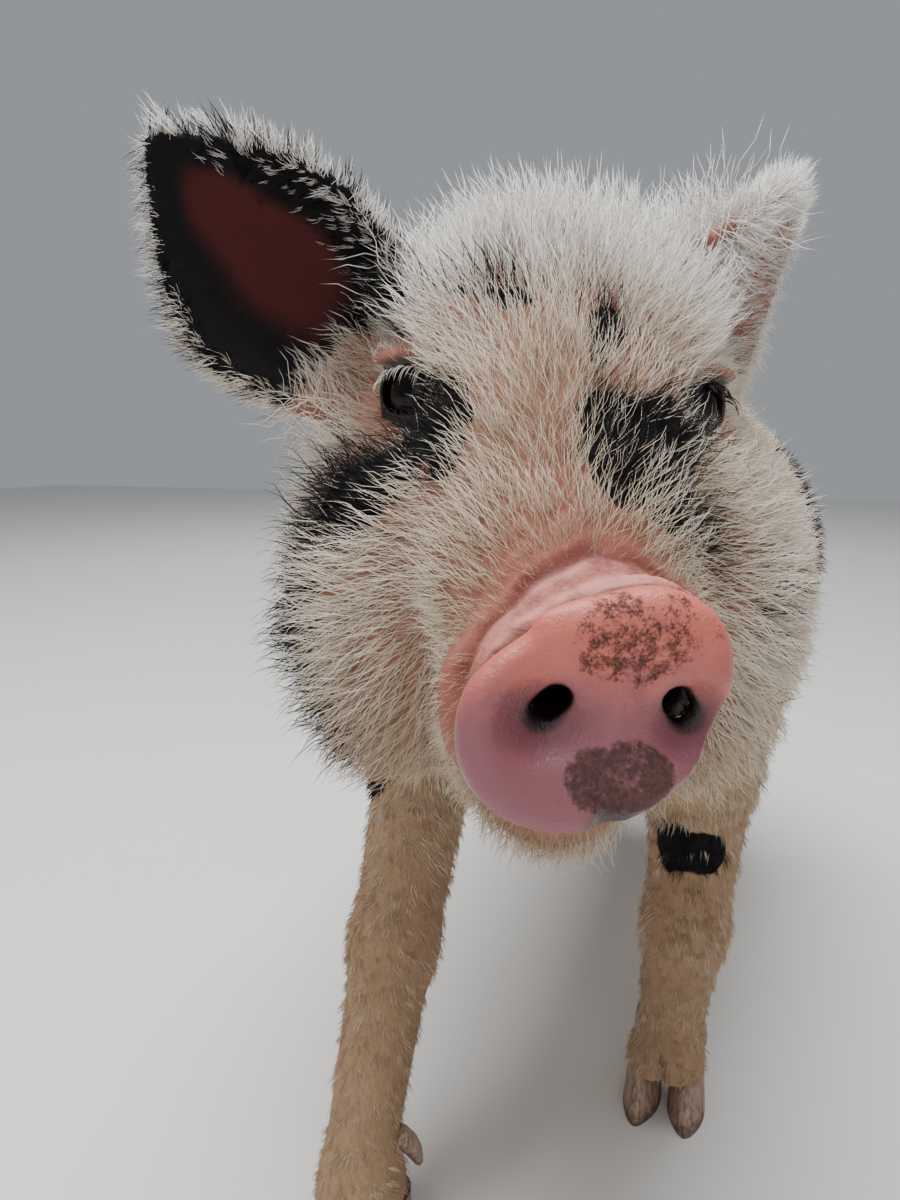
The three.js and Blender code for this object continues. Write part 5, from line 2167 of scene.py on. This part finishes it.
@dataclass
class CoatPiece:
    """The hair of one region."""

    region: Region
    growth: Growth
    per_square: float
    length_spread: float = 0.25
    turn_spread: float = 0.30
    patch: float = 0.003

    def build(self, hide: Hide, tree: Tree, tufts: bpy.types.Collection, finish: Material) -> Thing:
        """Plants the region's tufts and makes them one plain mesh.

        Args:
            hide: The skin.
            tree: The planting tree.
            tufts: The tufts of this kind of hair.
            finish: The hair's material.

        Returns:
            The coat piece.
        """
        middle = np.sort(hide.lie.region[hide.triangles], axis=1)[:, 1]
        chosen = hide.triangles[middle == self.region.value]
        used, faces = np.unique(chosen, return_inverse=True)
        faces = faces.reshape(-1, 3)
        points = hide.points[used]
        bed = make_object("bed", points, faces)
        for name in ("density", "length", "lift", "dark", "warm", "cool", "crossed"):
            put(bed.data, name, hide.lie.values[name][used])
        put(bed.data, "flow", hide.lie.flow[used])
        put(bed.data, "outward", hide.normals[used])
        maps = charts(points, faces)
        bed.data.uv_layers.new(name="root_map").data.foreach_set("uv", maps.astype(np.float32).ravel())
        coat = plant(bed, "coat_" + self.region.name.lower(), tree, {
            "Tufts": tufts,
            "Tufts per Square Metre": self.per_square,
            "Length Spread": self.length_spread,
            "Turn Spread": self.turn_spread,
            "Map Patch": self.patch,
            "Seed": COAT_SEED + self.region.value,
            "Material": finish,
        })
        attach(coat, BODY)
        return coat


def plant(bed: Thing, name: str, tree: Tree, values: dict[str, Any]) -> Thing:
    """Runs a planting tree on a bed and keeps its result as a plain object.

    Args:
        bed: The object whose mesh carries the roots, which is removed.
        name: The name of the result.
        tree: The planting tree.
        values: The tree's inputs by name.

    Returns:
        The plain object.
    """
    maker = bed.modifiers.new("Plant", "NODES")
    maker.node_group = tree
    for item in tree.interface.items_tree:
        if item.item_type == "SOCKET" and item.in_out == "INPUT" and item.name in values:
            maker[item.identifier] = values[item.name]
    bed.update_tag()
    graph = bpy.context.evaluated_depsgraph_get()
    grown = bed.evaluated_get(graph)
    mesh = bpy.data.meshes.new_from_object(grown, preserve_all_data_layers=True, depsgraph=graph)
    bed.modifiers.remove(maker)
    old = bed.data
    bpy.data.objects.remove(bed)
    bpy.data.meshes.remove(old)
    for extra in ("outward", "flow", "root_map", "tuft_map", "density", "length", "lift"):
        if extra in mesh.attributes:
            mesh.attributes.remove(mesh.attributes[extra])
    mesh.name = name
    thing = bpy.data.objects.new(name, mesh)
    bpy.context.scene.collection.objects.link(thing)
    return thing


def round_faces(levels: int, sides: int) -> Array:
    """Covers a closed round form: rows of points, then the middle of the first and of the last row.

    Args:
        levels: How many rows it has.
        sides: How many points a row has.

    Returns:
        The triangles, which face outward where the rows run down and their points run anticlockwise.
    """
    here = np.arange(levels * sides).reshape(levels, sides)
    after = np.roll(here, -1, axis=1)
    first, last = np.full(sides, levels * sides), np.full(sides, levels * sides + 1)
    parts = (
        (here[:-1], here[1:], after[1:]),
        (here[:-1], after[1:], after[:-1]),
        (first, here[0], after[0]),
        (last, after[-1], here[-1]),
    )
    return np.concatenate([np.stack([corner.ravel() for corner in part], 1) for part in parts])


def circle(sides: int) -> Array:
    """Returns the angles of points evenly spaced round a circle."""
    return np.arange(sides) * 2 * math.pi / sides


@dataclass
class Eyeball:
    """One eyeball, with the clear bulge over its ring."""

    eye: Eye
    bulge: float = 0.55
    rings: int = 40
    sides: int = 56

    def build(self, finish: Material) -> Thing:
        """Builds the ball round where it looks.

        Args:
            finish: The eye's material.

        Returns:
            The eyeball.
        """
        theta = np.linspace(0, math.pi, self.rings + 1)[1:-1]
        phi = circle(self.sides)
        inner = self.eye.radius - 0.25
        radius = inner + self.bulge * smooth(0.95, 0.3, theta)
        width, height = (radius * np.sin(theta))[:, None], (radius * np.cos(theta))[:, None]
        rows = np.stack(np.broadcast_arrays(width * np.cos(phi), width * np.sin(phi), height), -1)
        points = np.concatenate([rows.reshape(-1, 3), [(0, 0, inner + self.bulge), (0, 0, -inner)]])
        placed = HEAD.outward(self.eye.place.outward(points))
        thing = make_object("eyeball_" + self.eye.name, placed, round_faces(len(theta), self.sides))
        put(thing.data, "angle", np.concatenate([np.repeat(theta, self.sides), [0, math.pi]]))
        thing.data.materials.append(finish)
        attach(thing, BODY)
        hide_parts("eye_" + self.eye.name)
        return thing


@dataclass
class Lashes:
    """The curved lashes along one upper lid."""

    eye: Eye
    count: int = 22
    dark: float = 0.0
    length: float = 8.5

    def _turned(self, v: Array) -> Array:
        """Returns the eye's own directions in the pig's frame."""
        return HEAD.turned(self.eye.place.turned(v))

    def build(self, tree: Tree, tufts: bpy.types.Collection, finish: Material) -> Thing:
        """Plants the lashes along the lid.

        Args:
            tree: The tree that plants tufts at points.
            tufts: The lash tufts.
            finish: The hair's material.

        Returns:
            The lashes.
        """
        rng = np.random.default_rng(LASH_ROOT_SEED + self.eye.side)
        wide, high, _ = self.eye.opening
        angle = np.linspace(0.14, 0.86, self.count) * math.pi + rng.normal(0, 0.02, self.count)
        x, y = wide * 0.98 * np.cos(angle), high * np.sin(angle)
        depth = np.sqrt(np.maximum((self.eye.radius + 1.2) ** 2 - x * x - y * y, 4))
        ahead = unit(columns(x * 0.03, -0.25, 1.0))
        up = flattened(unit(columns(x * 0.05, 1.0, 0.3)), ahead)
        roots = HEAD.outward(self.eye.place.outward(columns(x, y, depth)))
        bed = make_object("bed", roots, np.zeros((0, 3), int))
        put(bed.data, "outward", self._turned(up))
        put(bed.data, "flow", self._turned(ahead))
        put(bed.data, "length", self.length * rng.uniform(0.7, 1.1, self.count))
        put(bed.data, "root_map", columns(np.linspace(0.05, 0.95, self.count), 0.5, 0.0))
        plain = {"lift": -0.15, "density": 1.0, "dark": self.dark, "warm": 0.0, "cool": 1.0, "crossed": 0.0}
        for name, value in plain.items():
            put(bed.data, name, np.full(self.count, value))
        lashes = plant(bed, "lashes_" + self.eye.name, tree, {
            "Tufts": tufts,
            "Length Spread": 0.15,
            "Turn Spread": 0.12,
            "Map Patch": 0.003,
            "Seed": LASH_SEED + self.eye.side,
            "Material": finish,
        })
        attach(lashes, BODY)
        return lashes


@dataclass
class Toe:
    """One toe of a leg, on the outer or the inner side."""

    leg: Leg
    outer: bool

    def __post_init__(self) -> None:
        """Sets the side that the toe is on, and its name."""
        self.out = np.sign(self.leg.toe[0]) * (1 if self.outer else -1)
        self.name = f"{self.leg.name}_{'outer' if self.outer else 'inner'}"


@dataclass
class Claw(Toe):
    """One toe's claw, with growth rings and a worn front edge."""

    width: float = 14.4
    length: float = 31
    height: float = 22
    sides: int = 40
    levels: int = 22

    def build(self, finish: Material) -> Thing:
        """Builds the claw.

        Args:
            finish: The horn's material.

        Returns:
            The claw.
        """
        z = np.linspace(0, self.height, self.levels)[:, None]
        keys = (0, 6, 13, self.height)
        ring = 1 + 0.012 * np.sin(z * 2.6) - 0.03 * smooth(1.2, 0, z)
        wide = np.interp(z, keys, (1, 0.97, 0.9, 0.84)) * ring
        long = np.interp(z, keys, (1, 0.94, 0.84, 0.72)) * ring
        back = np.interp(z, keys, (0, 1.2, 3.6, 7)) * 0.6
        side, forward = np.cos(circle(self.sides)), np.sin(circle(self.sides))
        narrow = 1 - 0.32 * np.maximum(forward, 0) ** 1.5
        y = self.length / 2 - forward * self.length / 2 * long + back
        x = side * self.width / 2 * narrow * wide
        x = x + self.out * (0.05 * (self.length - y) + self.width / 2 + 0.6)
        slope = math.tan(self.leg.coronet_slope)
        top = self.leg.coronet_height + 1.2 - (y - self.leg.foot_back) * slope
        rows = np.stack([x, y, np.minimum(z, top)], -1)
        points = np.concatenate([rows.reshape(-1, 3), rows[[0, -1]].mean(1)]) + self.leg.toe
        thing = make_object("hoof_" + self.name, points, round_faces(self.levels, self.sides))
        put(thing.data, "height", points[:, 2] / self.height)
        thing.data.materials.append(finish)
        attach(thing, BODY)
        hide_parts("claw_" + self.name)
        return thing


@dataclass
class Dewclaw(Toe):
    """One small claw behind the foot, curved a little to the floor."""

    base: float = 4.4
    sides: int = 20
    levels: int = 9

    def build(self, finish: Material) -> Thing:
        """Builds the dewclaw.

        Args:
            finish: The horn's material.

        Returns:
            The dewclaw.
        """
        back = self.leg.foot_back
        root = self.leg.toe + vec(self.out * 8.4, back + 9, 35.5)
        tip = self.leg.toe + vec(self.out * 13, back + 19.6, 15.6)
        axis = unit(tip - root)
        one = unit(np.cross(axis, UP))
        two = np.cross(axis, one) * 0.85
        t = np.linspace(0, 1, self.levels)[:, None]
        radius = self.base * (1 - t**2.2) ** 0.6 * (1 + 0.03 * np.sin(t * 22))
        middle = root + (tip - root) * t + vec(0, 2.2, 0) * np.sin(t * math.pi)
        angle = circle(self.sides)[:, None]
        rim = np.cos(angle) * one + np.sin(angle) * two
        rows = middle[:-1, None] + radius[:-1, None] * rim
        points = np.concatenate([rows.reshape(-1, 3), [root, middle[-1]]])
        faces = round_faces(self.levels - 1, self.sides)[:, ::-1]
        thing = make_object("dew_" + self.name, points, faces)
        put(thing.data, "height", (points[:, 2] - 14) / 22)
        thing.data.materials.append(finish)
        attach(thing, BODY)
        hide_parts("dewclaw_" + self.name)
        return thing


@dataclass
class Studio:
    """A pale floor, soft lights from above and the camera of the photograph."""

    eye_height: float = 260
    camera_place: tuple[float, float] = (75, -329)
    lens: float = 27.03
    pitch: float = 80
    yaw: float = 20

    def build(self, finish: Material) -> None:
        """Sets up floor, lights and camera.

        Args:
            finish: The floor's material.
        """
        half = 4000.0
        corners = np.array([[-half, -half, 0], [half, -half, 0], [half, half, 0], [-half, half, 0]])
        floor = make_object("studio_floor", corners, np.array([[0, 1, 2, 3]]))
        floor.data.materials.append(finish)
        floor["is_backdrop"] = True
        self._light("Soft sky", (-0.15, -0.15, 1.7), (0, 0, 0), 1.3, 50.0, (0.98, 0.99, 1.0))
        self._light("Front fill", (0.3, -1.6, 0.8), (66, 0, 11), 1.3, 6.5, (1.0, 0.98, 0.95))
        self._light("Back edge", (-0.6, 1.5, 1.3), (-52, 0, 200), 1.2, 9.0, (1.0, 1.0, 1.0))
        world = bpy.data.worlds.new("Studio")
        bpy.context.scene.world = world
        world.use_nodes = True
        g = Graph(world.node_tree)
        sky = g.add("ShaderNodeBackground", {"Color": (0.86, 0.9, 0.95, 1), "Strength": 0.36})
        g.add("ShaderNodeOutputWorld", {"Surface": sky.outputs[0]})
        data = bpy.data.cameras.new("Camera")
        data.lens, data.sensor_width = self.lens, 36
        data.clip_start = 0.01
        camera = bpy.data.objects.new("Camera", data)
        camera.location = vec(*self.camera_place, self.eye_height) * MM + SHIFT
        camera.rotation_euler = (math.radians(self.pitch), 0, math.radians(self.yaw))
        bpy.context.scene.collection.objects.link(camera)
        bpy.context.scene.camera = camera

    def _light(self, name: str, place: tuple, turn: tuple, size: float, power: float, shade: tuple) -> None:
        """Adds one square soft light.

        Args:
            name: The light's name.
            place: Where it is, in metres.
            turn: How it is turned, in degrees.
            size: The length of its sides, in metres.
            power: Its power, in watts.
            shade: Its colour.
        """
        data = bpy.data.lights.new(name, "AREA")
        data.shape, data.size, data.energy, data.color = "SQUARE", size, power, shade
        lamp = bpy.data.objects.new(name, data)
        lamp.location = place
        lamp.rotation_euler = tuple(math.radians(t) for t in turn)
        bpy.context.scene.collection.objects.link(lamp)


COAT = (
    CoatPiece(Region.CROWN, Growth.LONG, 220e3),
    CoatPiece(Region.FACE, Growth.LONG, 205e3),
    CoatPiece(Region.CHEEK_LEFT, Growth.LONG, 155e3),
    CoatPiece(Region.CHEEK_RIGHT, Growth.LONG, 155e3),
    CoatPiece(Region.EAR_LEFT, Growth.BODY, 330e3),
    CoatPiece(Region.EAR_RIGHT, Growth.BODY, 330e3),
    CoatPiece(Region.NECK, Growth.BODY, 63e3),
    CoatPiece(Region.BACK, Growth.BODY, 64e3),
    CoatPiece(Region.FLANK_LEFT, Growth.BODY, 62e3),
    CoatPiece(Region.FLANK_RIGHT, Growth.BODY, 62e3),
    CoatPiece(Region.BELLY, Growth.BODY, 30e3),
    CoatPiece(Region.LEGS_FRONT, Growth.SHORT, 98e3),
    CoatPiece(Region.LEGS_HIND, Growth.SHORT, 62e3),
    CoatPiece(Region.TAIL, Growth.BODY, 160e3, length_spread=0.3, turn_spread=0.4),
)


def write_sizes(cad: tuple, shown: tuple) -> None:
    """Gathers the boxes of the solids and of the visual model into a table, which is then left unused.

    Args:
        cad: The lowest and the highest corner of the solids.
        shown: The same of the visual model.
    """
    names = ("cad_low", "cad_high", "visual_low", "visual_high")
    sizes = {name: [round(float(v), 5) for v in corner] for name, corner in zip(names, (*cad, *shown))}


def main() -> None:
    """Builds the pig and the studio round it."""
    logging.basicConfig(level=logging.INFO, format="%(name)s: %(message)s")
    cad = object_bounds()
    markings, dirt = marking_group(), mud_group()
    horn, hair = HornFinish().build(dirt), HairFinish().build(markings)
    hide = Hide(coarse=1.0)
    hide.mesh()
    LOG.info("skin: %d triangles", len(hide.triangles))
    hide.study()
    hide.build(SkinFinish().build(markings, dirt))
    eye_finish = EyeFinish().build()
    for eye in PIGLET.head.eyes:
        LOG.info("%s", Eyeball(eye).build(eye_finish).name)
    for leg in LEGS:
        for outer in (True, False):
            LOG.info("%s", Claw(leg, outer).build(horn).name)
            LOG.info("%s", Dewclaw(leg, outer).build(horn).name)
    tree = coat_tree(Scatter.FACES)
    tufts = {growth: growth.tufts() for growth in Growth}
    for piece in COAT:
        coat = piece.build(hide, tree, tufts[piece.growth], hair)
        coat.data.calc_loop_triangles()
        LOG.info("%s: %d triangles", coat.name, len(coat.data.loop_triangles))
    lash_tree = coat_tree(Scatter.POINTS)
    for eye, dark in zip(PIGLET.head.eyes, (1.0, 0.0)):
        LOG.info("%s", Lashes(eye, dark=dark).build(lash_tree, tufts[Growth.LASH], hair).name)
    for group in tufts.values():
        for tuft in list(group.objects):
            bpy.data.objects.remove(tuft)
        bpy.data.collections.remove(group)
    Studio().build(FloorFinish().build())
    write_sizes(cad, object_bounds())


if __name__ == "__main__":
    main()
